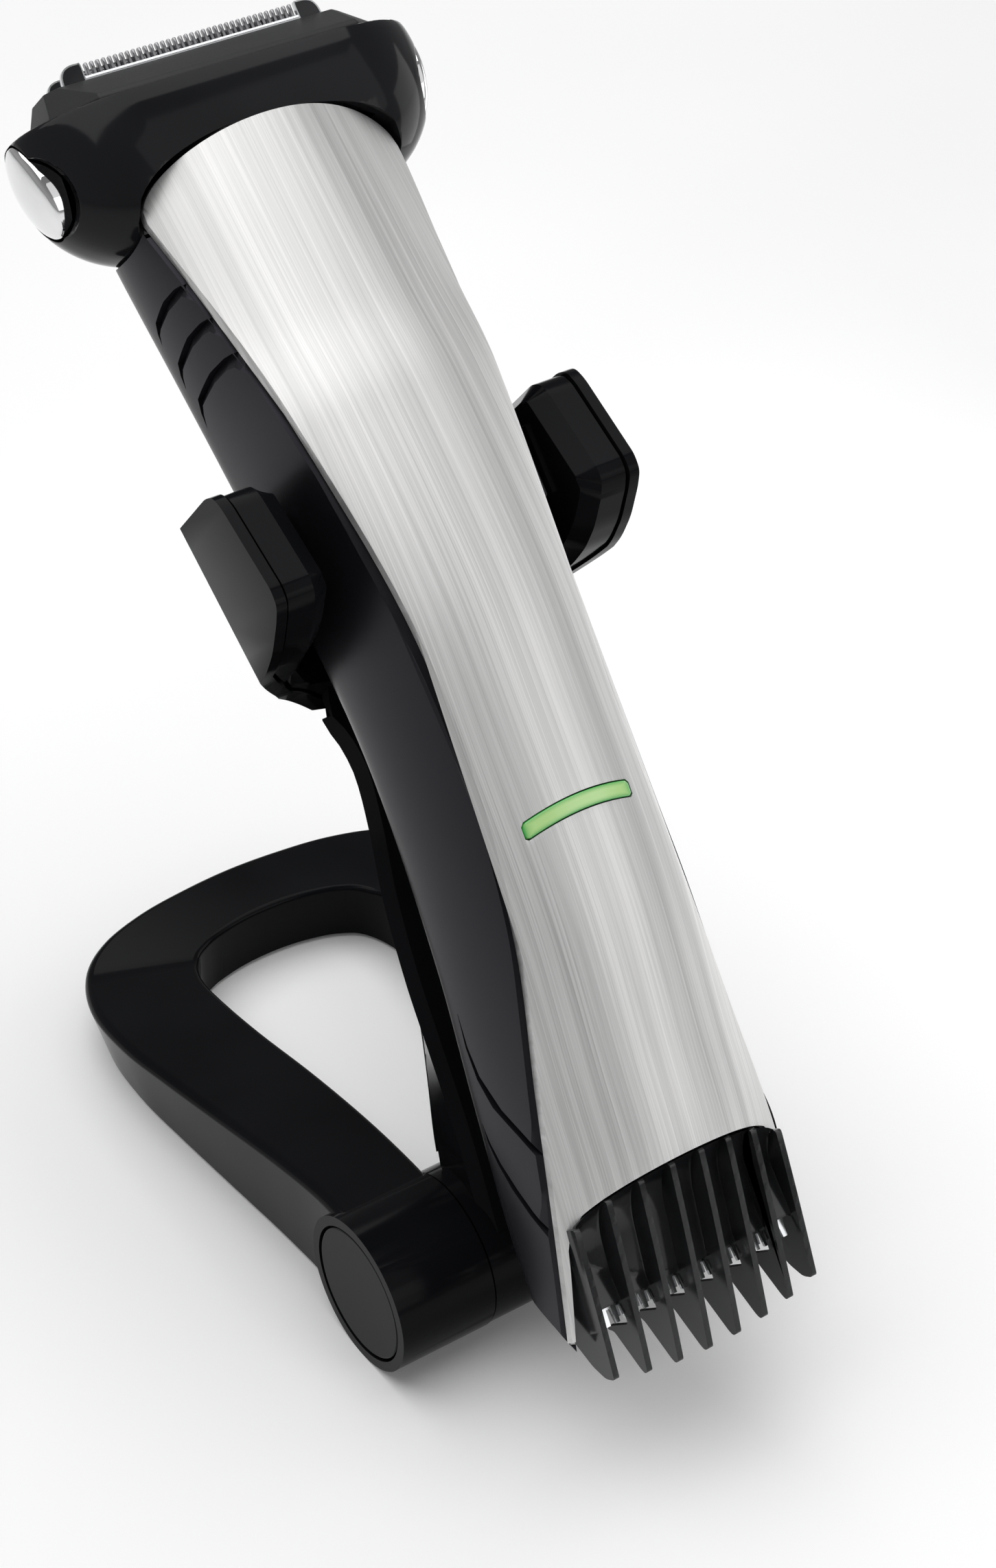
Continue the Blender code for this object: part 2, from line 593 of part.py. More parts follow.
def comb_front(x, v):
    """Front edge of the comb's teeth: flush with the cover above, thinning to the tips."""
    bow = (x / 17.3) ** 2
    top_w, tip_w = 11.4 - 5.0 * bow, 0.4 - 1.3 * bow
    t = min(max(v / comb_top(x), 0.0), 1.0)
    return tip_w + (top_w - tip_w) * (1.12 * t - 0.12 * t * t)


def make_comb(frame, looks):
    span = 0.5 * (TEETH - 1) * TOOTH_PITCH
    blade_w = 0.5              # the blades stay behind this height

    def tooth(x, outermost):
        top, tip = comb_top(x), comb_tip(x)
        edge = [(v, comb_front(x, v)) for v in (tip, 6.0, 13.0, 20.0, top)]
        if outermost:
            back = [(top, comb_front(x, top) - 4.0), (16.0, -1.5), (9.4, -8.4), (8.0, -7.4), (4.6, -4.9)]
            back += [(tip + 0.1, -2.4)]
        else:
            back = [(top, comb_front(x, top) - 3.4), (12.0, blade_w), (8.4, blade_w), (8.4, -6.4)]
            back += [(6.2 + tip, -4.7), (tip + 0.5, -1.0), (tip - 0.3, -0.3)]
        return prism(edge + back, "x", x - TOOTH_T / 2, x + TOOTH_T / 2)

    web = []
    for i in range(9):
        x = 17.4 * (i / 4 - 1)
        top = comb_top(x) - 0.2
        root_w = max(comb_front(x, 12.2) - 2.0, blade_w + 0.9)
        web.append([
            (x, 12.2, root_w), (x, top, comb_front(x, top) - 2.4),
            (x, top, comb_front(x, top) - 3.4), (x, 12.2, root_w - 0.9),
        ])
    comb = add("body_comb", loft(web), frame, looks["comb"])
    for i in range(TEETH):
        combine(comb, "UNION", tooth(-span + i * TOOTH_PITCH, i in (0, TEETH - 1)), frame)


# ---------------------------------------------------------------- shaving head

def pod_ring(x, grow, top):
    """The pod's section at x: an oval flattened at its top."""
    over = max(abs(x) - (HEAD_HALF - HEAD_R), 0.0) / (HEAD_R + grow)
    scale = math.sqrt(max(1 - over * over, 0.0)) * (1 - 0.02 * over)
    ring = []
    for i in range(20):
        a = math.tau * (i + 0.5) / 20
        up = math.copysign(abs(math.cos(a)) ** (2 / 2.3), math.cos(a))
        out = math.copysign(abs(math.sin(a)) ** (2 / 2.3), math.sin(a))
        v = HEAD_V + (HEAD_R + grow) * up * max(scale, 0.12)
        w = HEAD_W + (12.2 + grow) * out * max(scale, 0.12)
        ring.append((x, min(v, top), w))
    return ring


def pod_shape(grow, top):
    ends = [0.0, 0.35, 0.6, 0.78, 0.9, 0.97, 0.997]
    places = [HEAD_HALF - HEAD_R + (HEAD_R + grow) * e for e in ends]
    places = [-x for x in reversed(places)] + [-8.0, 0.0, 8.0] + places
    return loft([pod_ring(x, grow, top) for x in places])


def oval(radius_v, radius_w, x0, x1, count=28, bevel=0.0):
    """An elliptical slug along X at the release button's place."""
    outline = [(BUTTON_V + radius_v * math.cos(a), BUTTON_W + radius_w * math.sin(a))
               for a in [math.tau * i / count for i in range(count)]]
    bm = prism(outline, "x", x0, x1)
    if bevel:
        rims = [e for f in bm.faces if len(f.verts) == count for e in f.edges]
        bmesh.ops.bevel(bm, geom=rims, offset=bevel, segments=2, affect="EDGES")
    return bm


def make_head(frame, looks):
    pod = add("head_pod", pod_shape(0.0, CREASE_V), frame, looks["gloss"])
    combine(pod, "DIFFERENCE", box(-24.0, 24.0, 175.0, 200.0, HEAD_W - 9.0, HEAD_W + 9.0), frame)
    for way in (0.0, 2.5, 5.0):      # the cover's place as the head is pulled off past it
        cover_room = cover_shell(-0.6, COVER_T + 0.4, 0.5, 9.0)
        bmesh.ops.translate(cover_room, verts=cover_room.verts, vec=(0.0, -way, 0.0))
        combine(pod, "DIFFERENCE", cover_room, frame)
    combine(pod, "DIFFERENCE", rod(5.0, "v", 150.0, 180.0, (0.0, 1.0)), frame)
    combine(pod, "DIFFERENCE", box(-40.0, 40.0, 150.0, SEAT_V + GAP, -30.0, 30.0), frame)
    combine(pod, "DIFFERENCE", rod(8.6 + GAP, "v", 150.0, 168.6, (0.0, 1.0), 28), frame)
    for side in (-1, 1):
        combine(pod, "DIFFERENCE", oval(7.2, 5.4, side * 25.6, side * 40.0), frame)
    ring = tube(8.6, 5.0, "v", SEAT_V - 1.6, 168.3, (0.0, 1.0), 28)
    add("head_mounting_ring", ring, frame, looks["satin"])


def make_button(name, side, frame, looks):
    add(name, oval(6.7, 4.9, side * 27.2, side * 31.4, 24, 1.2), frame, looks["chrome"])


def guard_comb(w):
    """A strip of rounded guard teeth between two end blocks, above the upper frame."""
    outline = [(-20.2, SKIN_V - 1.6), (-20.2, SKIN_V + 0.9), (-19.3, SKIN_V + 2.1), (-17.0, SKIN_V + 2.2),
               (-16.9, SKIN_V + 0.2)]
    pitch = 33.0 / GUARD_TEETH
    for i in range(GUARD_TEETH):
        x = -16.5 + pitch * (i + 0.5)
        outline += [(x - 0.26, SKIN_V + 0.2), (x - 0.2, SKIN_V + 2.2), (x + 0.2, SKIN_V + 2.2),
                    (x + 0.26, SKIN_V + 0.2)]
    outline += [(-x, v) for x, v in reversed(outline[:5])]
    return prism(outline, "w", w - 0.25, w + 0.25)


def make_float(frame, looks):
    """The upper frame with its foil and two guard combs; it gives way under pressure."""
    neck_low, neck_high = HEAD_W - 8.6, HEAD_W + 8.6
    rows = [(CREASE_V - 4.0, 23.6, neck_low, neck_high), (CREASE_V + 1.7, 23.6, neck_low, neck_high),
            (CREASE_V + 1.7, 25.8, -11.6, 10.6), (SKIN_V - 0.3, 23.0, -6.8, 1.4)]
    rings = []
    for (v, x, low, high), cut in zip(rows, (2.0, 2.0, 5.0, 1.5)):
        right = [(x - cut, v, low), (x, v, low + cut), (x, v, high - cut), (x - cut, v, high)]
        rings.append(right + [(-a, b, c) for a, b, c in reversed(right)])
    body = add("foil_frame", loft(rings), frame, looks["frame"])
    combine(body, "DIFFERENCE", box(-20.6, 20.6, 170.0, 200.0, -6.2, 0.9), frame)
    add("front_guard_comb", guard_comb(GUARD_FRONT), frame, looks["steel"])
    add("rear_guard_comb", guard_comb(GUARD_REAR), frame, looks["steel"])
    arch = [(SKIN_V + 0.3 + 1.6 * math.sin(a), FOIL_W + 1.75 * math.cos(a))
            for a in [math.pi * i / 8 for i in range(9)]]
    inner = [(v - 0.3, FOIL_W + (w - FOIL_W) * 0.85) for v, w in reversed(arch)]
    sides = [(SKIN_V - 2.4, FOIL_W + 1.75)] + arch + [(SKIN_V - 2.4, FOIL_W - 1.75)]
    sides += [(SKIN_V - 2.4, FOIL_W - 1.49)] + inner + [(SKIN_V - 2.4, FOIL_W + 1.49)]
    add("shaving_foil", prism(sides, "x", -16.6, 16.6), frame, looks["steel"])


def make_cutter(frame, looks):
    """The inner cutter and both guard-row blades on the carrier that the drive pin swings."""
    carrier = add("cutter_carrier", box(-14.5, 14.5, 184.0, 189.0, -5.2, -0.2, 0.4), frame, looks["satin"])
    for side in (-1, 1):
        combine(carrier, "UNION", box(side * 3.8, side * 5.2, 182.0, 185.0, -4.8, 0.4), frame)
        combine(carrier, "UNION", box(side * 3.8, side * 5.2, 176.8, 182.4, -4.8, 2.8), frame)
    arch = [(SKIN_V - 0.4 + 1.6 * math.sin(a), FOIL_W + 1.15 * math.cos(a))
            for a in [math.pi * i / 6 for i in range(7)]]
    body = [(SKIN_V - 3.2, FOIL_W + 1.15)] + arch + [(SKIN_V - 3.2, FOIL_W - 1.15)]
    add("inner_cutter", prism(body, "x", -15.0, 15.0), frame, looks["steel"])
    for name, w in (("front", GUARD_FRONT - 0.8), ("rear", GUARD_REAR + 0.75)):
        strip = toothed_strip(14.9, SKIN_V - 2.6, SKIN_V - 0.2, SKIN_V + 1.4, w - 0.12, w + 0.12)
        add(f"{name}_trimmer_blade", strip, frame, looks["steel"])


def toothed_strip(half, root, plate, tip, low, high):
    count = 18
    pitch = 2 * half / count
    outline = [(-half, root), (-half, plate)]
    for i in range(count):
        x = -half + pitch * (i + 0.5)
        outline += [(x - 0.5, plate), (x - 0.35, tip), (x + 0.35, tip), (x + 0.5, plate)]
    outline += [(half, plate), (half, root)]
    return prism(outline, "w", low, high)


def main():
    clear_scene()
    looks = {
        "gloss": material("gloss_black", (0.012, 0.012, 0.014), 0.12),
        "satin": material("satin_black", (0.03, 0.03, 0.032), 0.45),
        "grip": material("soft_black", (0.022, 0.021, 0.026), 0.4),
        "brushed": material("brushed_silver", (0.75, 0.75, 0.74), 0.32, 0.9),
        "light": material("light_green", (0.45, 0.8, 0.42), 0.3),
        "comb": material("smoky_plastic", (0.05, 0.052, 0.055), 0.15),
        "steel": material("steel", (0.6, 0.6, 0.62), 0.25, 1.0),
        "chrome": material("chrome", (0.85, 0.85, 0.86), 0.06, 1.0),
        "frame": material("dark_grey", (0.04, 0.04, 0.043), 0.35),
        "contact": material("contact_grey", (0.3, 0.3, 0.31), 0.35, 1.0),
        "battery": material("battery_wrap", (0.08, 0.2, 0.35), 0.4),
        "board": material("board_green", (0.02, 0.16, 0.07), 0.5),
        "rubber": material("rubber", (0.02, 0.02, 0.02), 0.8),
    }
    tip = Vector((0, TIP_Y, TIP_Z))
    along = Vector((0, math.sin(LEAN), math.cos(LEAN)))
    normal = Vector((0, -math.cos(LEAN), math.sin(LEAN)))
    hinge = Vector((0, 0, HINGE_R)) - tip
    make_base(stand_frame(), looks)
    arm = joint_frame("stand_hinge_axis", (0.0, hinge.dot(along), hinge.dot(normal)))
    make_arm(arm, looks)
    handle = joint_frame("handle_frame", (0.0, 0.0, 0.0))
    make_handle(handle, looks)
    make_switch(joint_frame("power_switch_axis", (0.0, 127.0, -9.0), handle), looks)
    shaver_axis = joint_frame("shaver_shaft_axis", (0.0, 152.0, 1.0), handle)
    make_shaft("shaver_drive", shaver_axis, looks, 152.4, 1, 28.0)
    trimmer_axis = joint_frame("trimmer_shaft_axis", (0.0, 33.0, 1.0), handle)
    make_shaft("trimmer_drive", trimmer_axis, looks, 33.1, -1, 10.5)
    make_trimmer(handle, joint_frame("trimmer_blade_axis", (0.0, 14.0, 2.0), handle), looks)
    make_comb(joint_frame("comb_axis", (0.0, 0.0, 0.0), handle), looks)
    head = joint_frame("head_axis", (0.0, SEAT_V, HEAD_W), handle)
    make_head(head, looks)
    for name, side in (("left", -1), ("right", 1)):
        frame = joint_frame(f"release_button_{name}_axis", (side * 29.0, 179.5, 1.0), head)
        make_button(f"release_button_{name}", side, frame, looks)
    floating = joint_frame("foil_frame_axis", (0.0, CREASE_V, HEAD_W), head)
    make_float(floating, looks)
    make_cutter(joint_frame("cutter_axis", (0.0, SKIN_V, FOIL_W), floating), looks)


main()
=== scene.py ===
import json
import math

import bmesh
import bpy
from mathutils import Matrix, Vector


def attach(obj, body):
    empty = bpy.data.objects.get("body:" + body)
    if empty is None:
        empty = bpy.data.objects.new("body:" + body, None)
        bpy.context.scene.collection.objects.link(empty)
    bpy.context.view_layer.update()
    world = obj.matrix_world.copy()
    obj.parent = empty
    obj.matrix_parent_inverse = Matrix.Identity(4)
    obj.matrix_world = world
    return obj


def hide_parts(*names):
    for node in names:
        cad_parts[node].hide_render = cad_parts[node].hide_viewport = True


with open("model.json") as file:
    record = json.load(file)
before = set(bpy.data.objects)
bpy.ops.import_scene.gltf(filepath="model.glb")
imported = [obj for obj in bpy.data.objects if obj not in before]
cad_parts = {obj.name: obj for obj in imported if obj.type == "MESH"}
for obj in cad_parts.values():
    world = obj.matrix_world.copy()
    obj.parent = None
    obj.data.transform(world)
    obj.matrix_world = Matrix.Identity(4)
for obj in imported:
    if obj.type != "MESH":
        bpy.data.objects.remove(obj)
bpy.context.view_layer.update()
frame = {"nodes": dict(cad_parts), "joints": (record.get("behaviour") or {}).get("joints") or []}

# A double-ended body groomer in its folding charging stand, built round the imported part.
#
# Lengths in the shape code are millimetres. The groomer and the stand's arm are drawn in the groomer's own
# frame: x across, v up its long axis from the comb's tips, w out of its front cover. The stand's base is
# drawn in x, y from the hinge axis, and z from the floor.

MM = 0.001
JOINTS = {joint["name"]: joint for joint in frame["joints"]}
HINGE = Vector(JOINTS["arm_fold"]["pos_m"])
ALONG = Vector(JOINTS["head_pull_off"]["axis"])
NORMAL = Vector(JOINTS["groomer_lift"]["axis"])
TIPS = HINGE + Vector((0.0, -42.07, 7.67)) * MM      # the comb's tips
GROOMER = Matrix.Translation(TIPS) @ Matrix((Vector((1, 0, 0)), ALONG, NORMAL)).transposed().to_4x4()
TO_GROOMER = GROOMER.inverted()
BASE = Matrix.Translation((0.0, HINGE.y, 0.0))
HINGE_R = HINGE.z / MM
offset = HINGE - TIPS
HINGE_V, HINGE_W = offset.dot(ALONG) / MM, offset.dot(NORMAL) / MM

GAP = 0.3

# Stand
BARREL_R, PIN_BORE_R = 12.0, 3.3
KNUCKLE_IN, KNUCKLE_OUT = 17.9, 33.5
CAP_R, CAP_SEAT_R, INLET_R, INLET_Z = 10.3, 10.6, 3.2, 5.2
FLOOR_GAP, LOOP_WALL, LOOP_HALF = 0.8, 1.8, 36.8
LEG_TOP, LEG_SLOPE, REAR_TOP, REAR_Y, DRAFT = 23.2, 0.165, 10.8, 94.1, 2.4

# Shaving head
HEAD_HALF, HEAD_R, HEAD_V, HEAD_W = 31.5, 15.7, 182.2, -0.5
HEAD_DEPTH, HEAD_POWER, HEAD_TAPER = 12.2, 2.3, 0.02
CREASE_V, CREASE_ROUND, SKIN_V = 187.2, 0.5, 192.6
BUTTON_V, BUTTON_W, BUTTON_HALF_V, BUTTON_HALF_W = 180.0, -0.6, 6.75, 4.95
GUARD_FRONT, FOIL_W, GUARD_REAR = 0.45, -2.65, -5.75
GUARD_TEETH, GUARD_HALF, GUARD_TOOTH_V, GUARD_TOOTH_R = 36, 16.5, 1.95, 0.25
FOIL_HALF, FOIL_RISE, FOIL_BASE = 1.75, 1.6, 2.4

# Handle and comb
COVER_T, SHELL_T = 1.5, 1.7
COVER_POWER, BACK_POWER = 2.2, 2.4          # how square the cover's crown and the housing's back are
TEETH, TOOTH_PITCH, TOOTH_T = 8, 4.87, 0.9
COMB_HALF, COMB_WALL_HALF, COMB_TIP_HALF = 17.8, 17.4, 17.3
BAR_V, BAR_HALF, BAR_HEIGHT, BAR_BOW = 77.5, 8.5, 2.2, 1.0
ARCH_V, ARCH_RISE, LEG_V, SEAT_V = 24.0, 4.0, 9.0, 166.0
LEG_SHARE = 0.93                            # the legs' inner edge, as a share of the cover's half width
MARK_DEPTH = 1.05

# Handle sections: (v, seam x, seam w, crown w, half width, w of the widest point, back w)
SECTIONS = [
    (4.0, 20.3, -6.0, 0.0, 20.6, -9.0, -14.5),
    (24.0, 18.7, 3.0, 10.4, 19.5, -8.5, -15.5),
    (43.0, 16.3, 9.3, 15.2, 18.8, -4.4, -12.5),
    (64.0, 13.6, 16.2, 20.0, 18.0, 0.3, -8.0),
    (90.0, 12.1, 19.9, 22.6, 17.2, 3.2, -6.0),
    (110.0, 12.9, 21.0, 23.6, 17.4, 2.3, -6.8),
    (137.0, 15.8, 17.9, 20.9, 18.8, -0.8, -9.5),
    (150.0, 17.0, 14.1, 18.2, 20.0, -0.8, -11.0),
    (169.0, 19.9, 7.9, 15.2, 22.0, -0.5, -12.5),
    (180.0, 21.0, 3.0, 13.6, 22.6, -0.5, -12.5),
]


# ---------------------------------------------------------------- materials

class Graph:
    """A material's node tree, with short calls for the nodes that it takes."""

    def __init__(self, name):
        self.material = bpy.data.materials.new(name)
        self.material.use_nodes = True
        self.tree = self.material.node_tree
        self.shader = self.tree.nodes["Principled BSDF"]
        turned = self.node("ShaderNodeMapping")
        turned.inputs["Rotation"].default_value = TO_GROOMER.to_euler()
        turned.inputs["Location"].default_value = TO_GROOMER.translation
        self.link(self.node("ShaderNodeTexCoord").outputs["Object"], turned.inputs["Vector"])
        self.place = turned.outputs["Vector"]       # metres along the groomer's x, v and w

    def node(self, kind, **settings):
        made = self.tree.nodes.new(kind)
        for key, value in settings.items():
            setattr(made, key, value)
        return made

    def link(self, source, target):
        self.tree.links.new(source, target)

    def feed(self, socket, value):
        if isinstance(value, bpy.types.NodeSocket):
            self.link(value, socket)
        else:
            socket.default_value = value

    def stretched(self, scale):
        made = self.node("ShaderNodeMapping")
        made.inputs["Scale"].default_value = scale
        self.link(self.place, made.inputs["Vector"])
        return made.outputs["Vector"]

    def noise(self, scale, detail=3.0, vector=None, roughness=0.5):
        made = self.node("ShaderNodeTexNoise")
        made.inputs["Scale"].default_value = scale
        made.inputs["Detail"].default_value = detail
        made.inputs["Roughness"].default_value = roughness
        self.link(vector or self.place, made.inputs["Vector"])
        return made.outputs["Fac"]

    def spread(self, value, low, high, from_low=0.3, from_high=0.7):
        made = self.node("ShaderNodeMapRange")
        made.inputs["From Min"].default_value = from_low
        made.inputs["From Max"].default_value = from_high
        made.inputs["To Min"].default_value = low
        made.inputs["To Max"].default_value = high
        self.link(value, made.inputs["Value"])
        return made.outputs["Result"]

    def math(self, operation, a, b=0.0):
        made = self.node("ShaderNodeMath", operation=operation)
        self.feed(made.inputs[0], a)
        self.feed(made.inputs[1], b)
        return made.outputs[0]

    def mix(self, amount, a, b):
        made = self.node("ShaderNodeMix", data_type="RGBA")
        self.feed(made.inputs["Factor"], amount)
        for socket, value in (("A", a), ("B", b)):
            slot = [s for s in made.inputs if s.name == socket and s.type == "RGBA"][0]
            self.feed(slot, value if isinstance(value, bpy.types.NodeSocket) else (*value, 1.0))
        return [s for s in made.outputs if s.type == "RGBA"][0]

    def bump(self, height, strength, distance=0.0001):
        made = self.node("ShaderNodeBump")
        made.inputs["Strength"].default_value = strength
        made.inputs["Distance"].default_value = distance
        self.link(height, made.inputs["Height"])
        self.link(made.outputs["Normal"], self.shader.inputs["Normal"])

    def set(self, **values):
        for key, value in values.items():
            self.feed(self.shader.inputs[key.replace("_", " ")], value)


def plastic(name, color, roughness, grain, bump, coat=0.0, shine=0.5, sheen=(1.0, 1.0, 1.0)):
    """Moulded plastic: fine grain, slow drift of tone and gloss, and an optional clear gloss on top."""
    drift = 0.25
    g = Graph(name)
    slow = g.noise(45.0, 2.0)
    fine = g.noise(grain, 3.0)
    light = tuple(min(c * (1 + drift), 1.0) for c in color)
    dark = tuple(c * (1 - drift) for c in color)
    g.set(Base_Color=g.mix(g.spread(slow, 0.0, 1.0), dark, light), Specular_IOR_Level=shine,
          Specular_Tint=(*sheen, 1.0))
    g.set(Roughness=g.spread(g.math("ADD", slow, g.math("MULTIPLY", fine, 0.3)), roughness * 0.85,
                             roughness * 1.15, 0.4, 0.9))
    if coat:
        g.set(Coat_Weight=coat, Coat_Roughness=0.03, Coat_IOR=1.3)
    g.bump(fine, bump, 0.00004)
    return g.material


def metal(name, color, roughness, grain=1800.0, bump=0.04, stretch=(1.0, 1.0, 1.0)):
    """Bare metal with a fine ground grain."""
    g = Graph(name)
    fine = g.noise(grain, 3.0, g.stretched(stretch))
    slow = g.noise(60.0, 2.0)
    dark = tuple(c * 0.82 for c in color)
    g.set(Base_Color=g.mix(g.spread(slow, 0.0, 1.0), dark, color), Metallic=1.0)
    g.set(Roughness=g.spread(fine, roughness * 0.7, roughness * 1.3))
    g.bump(fine, bump, 0.00003)
    return g.material


def brushed(name):
    """Brushed silver: long hair lines along the groomer."""
    g = Graph(name)
    hair = g.noise(1.0, 3.0, g.stretched((6500.0, 12.0, 90.0)), 0.6)
    bands = g.noise(1.0, 3.0, g.stretched((900.0, 2.5, 20.0)), 0.55)
    lines = g.math("ADD", g.math("MULTIPLY", hair, 0.55), g.math("MULTIPLY", bands, 0.45))
    g.set(Base_Color=g.mix(g.spread(lines, 0.0, 1.0, 0.36, 0.64), (0.5, 0.5, 0.495), (0.74, 0.735, 0.73)))
    g.set(Metallic=0.64, Roughness=g.spread(hair, 0.38, 0.5), Anisotropic=0.35)
    tangent = g.node("ShaderNodeVectorTransform", vector_type="VECTOR", convert_from="OBJECT",
                     convert_to="WORLD")
    tangent.inputs[0].default_value = ALONG
    g.link(tangent.outputs[0], g.shader.inputs["Tangent"])
    g.bump(lines, 0.16, 0.00005)
    return g.material


def glowing(name):
    """The light bar: a green lens, paler in its middle, lit from within."""
    g = Graph(name)
    parts = g.node("ShaderNodeSeparateXYZ")
    g.link(g.place, parts.inputs[0])
    across = g.math("ABSOLUTE", g.math("DIVIDE", parts.outputs[0], BAR_HALF * MM))
    bow = g.math("MULTIPLY", g.math("MULTIPLY", across, across), BAR_BOW * MM)
    up = g.math("SUBTRACT", g.math("ADD", parts.outputs[1], bow), BAR_V * MM)
    edge = g.math("DIVIDE", g.math("ABSOLUTE", up), 0.5 * BAR_HEIGHT * MM)
    rim = g.math("MAXIMUM", g.math("POWER", across, 14.0), g.math("POWER", edge, 2.6))
    tone = g.mix(g.spread(g.math("ADD", rim, g.math("MULTIPLY", g.noise(300.0), 0.1)), 0.0, 1.0, 0.1, 0.95),
                 (0.36, 0.56, 0.22), (0.07, 0.34, 0.08))
    g.set(Base_Color=tone, Emission_Color=tone, Emission_Strength=0.2, Roughness=0.22, Coat_Weight=0.4)
    return g.material


def smoky(name):
    """The comb's clear grey plastic."""
    g = Graph(name)
    slow = g.noise(120.0, 2.0)
    g.set(Base_Color=g.mix(g.spread(slow, 0.0, 1.0), (0.01, 0.0105, 0.0115), (0.019, 0.0198, 0.0212)))
    g.set(Roughness=g.spread(slow, 0.1, 0.16), Transmission_Weight=0.1, IOR=1.45, Specular_IOR_Level=0.4)
    g.bump(g.noise(900.0), 0.03, 0.00004)
    return g.material


def foil(name):
    """The shaving foil: thin steel with rows of tiny holes."""
    g = Graph(name)
    cells = g.node("ShaderNodeTexVoronoi", feature="DISTANCE_TO_EDGE")
    cells.inputs["Scale"].default_value = 1900.0
    cells.inputs["Randomness"].default_value = 0.15
    g.link(g.place, cells.inputs["Vector"])
    web = g.spread(cells.outputs["Distance"], 1.0, 0.0, 0.12, 0.2)
    g.set(Base_Color=g.mix(web, (0.01, 0.01, 0.011), (0.2, 0.2, 0.21)), Metallic=1.0)
    g.set(Roughness=g.spread(g.noise(1500.0), 0.16, 0.3))
    g.bump(web, 0.4, 0.00005)
    return g.material


LOOKS = {
    "foil": foil("perforated_foil"),
    "smoke_block": plastic("smoky_block", (0.014, 0.0145, 0.016), 0.1, 1200.0, 0.02, shine=0.4),
    "gloss": plastic("gloss_black", (0.0048, 0.005, 0.0058), 0.14, 900.0, 0.015, shine=0.05),
    "satin": plastic("satin_black", (0.012, 0.012, 0.0135), 0.4, 3200.0, 0.1, shine=0.3),
    "grip": plastic("soft_black", (0.0065, 0.006, 0.0075), 0.34, 4200.0, 0.1, shine=0.3,
                    sheen=(0.9, 0.87, 1.0)),
    "pod": plastic("pod_black", (0.0095, 0.0098, 0.011), 0.1, 1500.0, 0.012, shine=0.14),
    "frame": plastic("dark_grey", (0.012, 0.0123, 0.013), 0.5, 2600.0, 0.05, shine=0.25),
    "tooth": metal("tooth_steel", (0.3, 0.3, 0.31), 0.22, 2600.0, 0.05),
    "rubber": plastic("rubber", (0.02, 0.02, 0.02), 0.75, 3000.0, 0.3),
    "board": plastic("board_green", (0.012, 0.12, 0.045), 0.45, 1500.0, 0.1),
    "battery": plastic("battery_wrap", (0.04, 0.13, 0.28), 0.35, 1200.0, 0.05, 0.3),
    "brushed": brushed("brushed_silver"),
    "light": glowing("light_green"),
    "comb": smoky("smoky_plastic"),
    "steel": metal("steel", (0.62, 0.62, 0.64), 0.24),
    "blade": metal("blade_steel", (0.62, 0.63, 0.64), 0.18, 2600.0, 0.05, (1.0, 0.15, 1.0)),
    "chrome": metal("chrome", (0.88, 0.88, 0.89), 0.05, 700.0, 0.008),
    "contact": metal("contact_metal", (0.4, 0.4, 0.42), 0.3, 2000.0, 0.05, (1.0, 0.1, 1.0)),
}


# ---------------------------------------------------------------- mesh helpers

def smooth_step(t):
    t = min(max(t, 0.0), 1.0)
    return t * t * (3 - 2 * t)


def lerp(a, b, t):
    return a + (b - a) * t


def curve_value(rows, column, at):
    """A smooth curve through the rows: cubic Hermite with centred slopes."""
    at = min(max(at, rows[0][0]), rows[-1][0])
    k = max(i for i in range(len(rows) - 1) if rows[i][0] <= at)

    def slope(i):
        a, b = rows[max(i - 1, 0)], rows[min(i + 1, len(rows) - 1)]
        return (b[column] - a[column]) / (b[0] - a[0])

    span = rows[k + 1][0] - rows[k][0]
    t = (at - rows[k][0]) / span
    low, high = rows[k][column], rows[k + 1][column]
    return (
        low * (1 + 2 * t) * (1 - t) ** 2 + high * t * t * (3 - 2 * t)
        + span * (slope(k) * t * (1 - t) ** 2 - slope(k + 1) * t * t * (1 - t))
    )


def steps(low, high, count):
    return [lerp(low, high, i / count) for i in range(count + 1)]


def resampled(points, count):
    """Points at even steps along a smooth curve through these."""
    rows = [(float(i), *point) for i, point in enumerate(points)]
    return [tuple(curve_value(rows, column, at) for column in range(1, len(rows[0])))
            for at in steps(0.0, len(points) - 1.0, count)]


def rounded(points, radius, count=5):
    """A closed outline with its corners rounded."""
    share = 0.42                                # how far along a side a corner may reach
    out = []
    for i, point in enumerate(points):
        here = Vector(point)
        to_back, to_next = Vector(points[i - 1]) - here, Vector(points[(i + 1) % len(points)]) - here
        reach = min(radius, share * to_back.length, share * to_next.length)
        start, end = here + to_back.normalized() * reach, here + to_next.normalized() * reach
        for t in steps(0.0, 1.0, count):
            out.append(tuple(start * (1 - t) ** 2 + here * 2 * t * (1 - t) + end * t * t))
    return out


def skin(bm, rows):
    """Quads between closed rows of vertices, and a cap at each end."""
    count = len(rows[0])
    for low, high in zip(rows, rows[1:]):
        for i in range(count):
            j = (i + 1) % count
            bm.faces.new((low[i], low[j], high[j], high[i]))
    bm.faces.new(rows[0])
    bm.faces.new(rows[-1])


def loft(rings):
    """A solid through rings of equal length."""
    bm = bmesh.new()
    skin(bm, [[bm.verts.new(point) for point in ring] for ring in rings])
    return bm


def place(axis, a, b, c):
    """The point at c along the axis and at a, b across it."""
    return {"x": (c, a, b), "v": (a, c, b), "w": (a, b, c)}[axis]


def prism(outline, axis, low, high):
    """A flat outline drawn out along an axis."""
    return loft([[place(axis, a, b, c) for a, b in outline] for c in (low, high)])


def box(x0, x1, v0, v1, w0, w1):
    return prism([(x0, v0), (x1, v0), (x1, v1), (x0, v1)], "w", w0, w1)


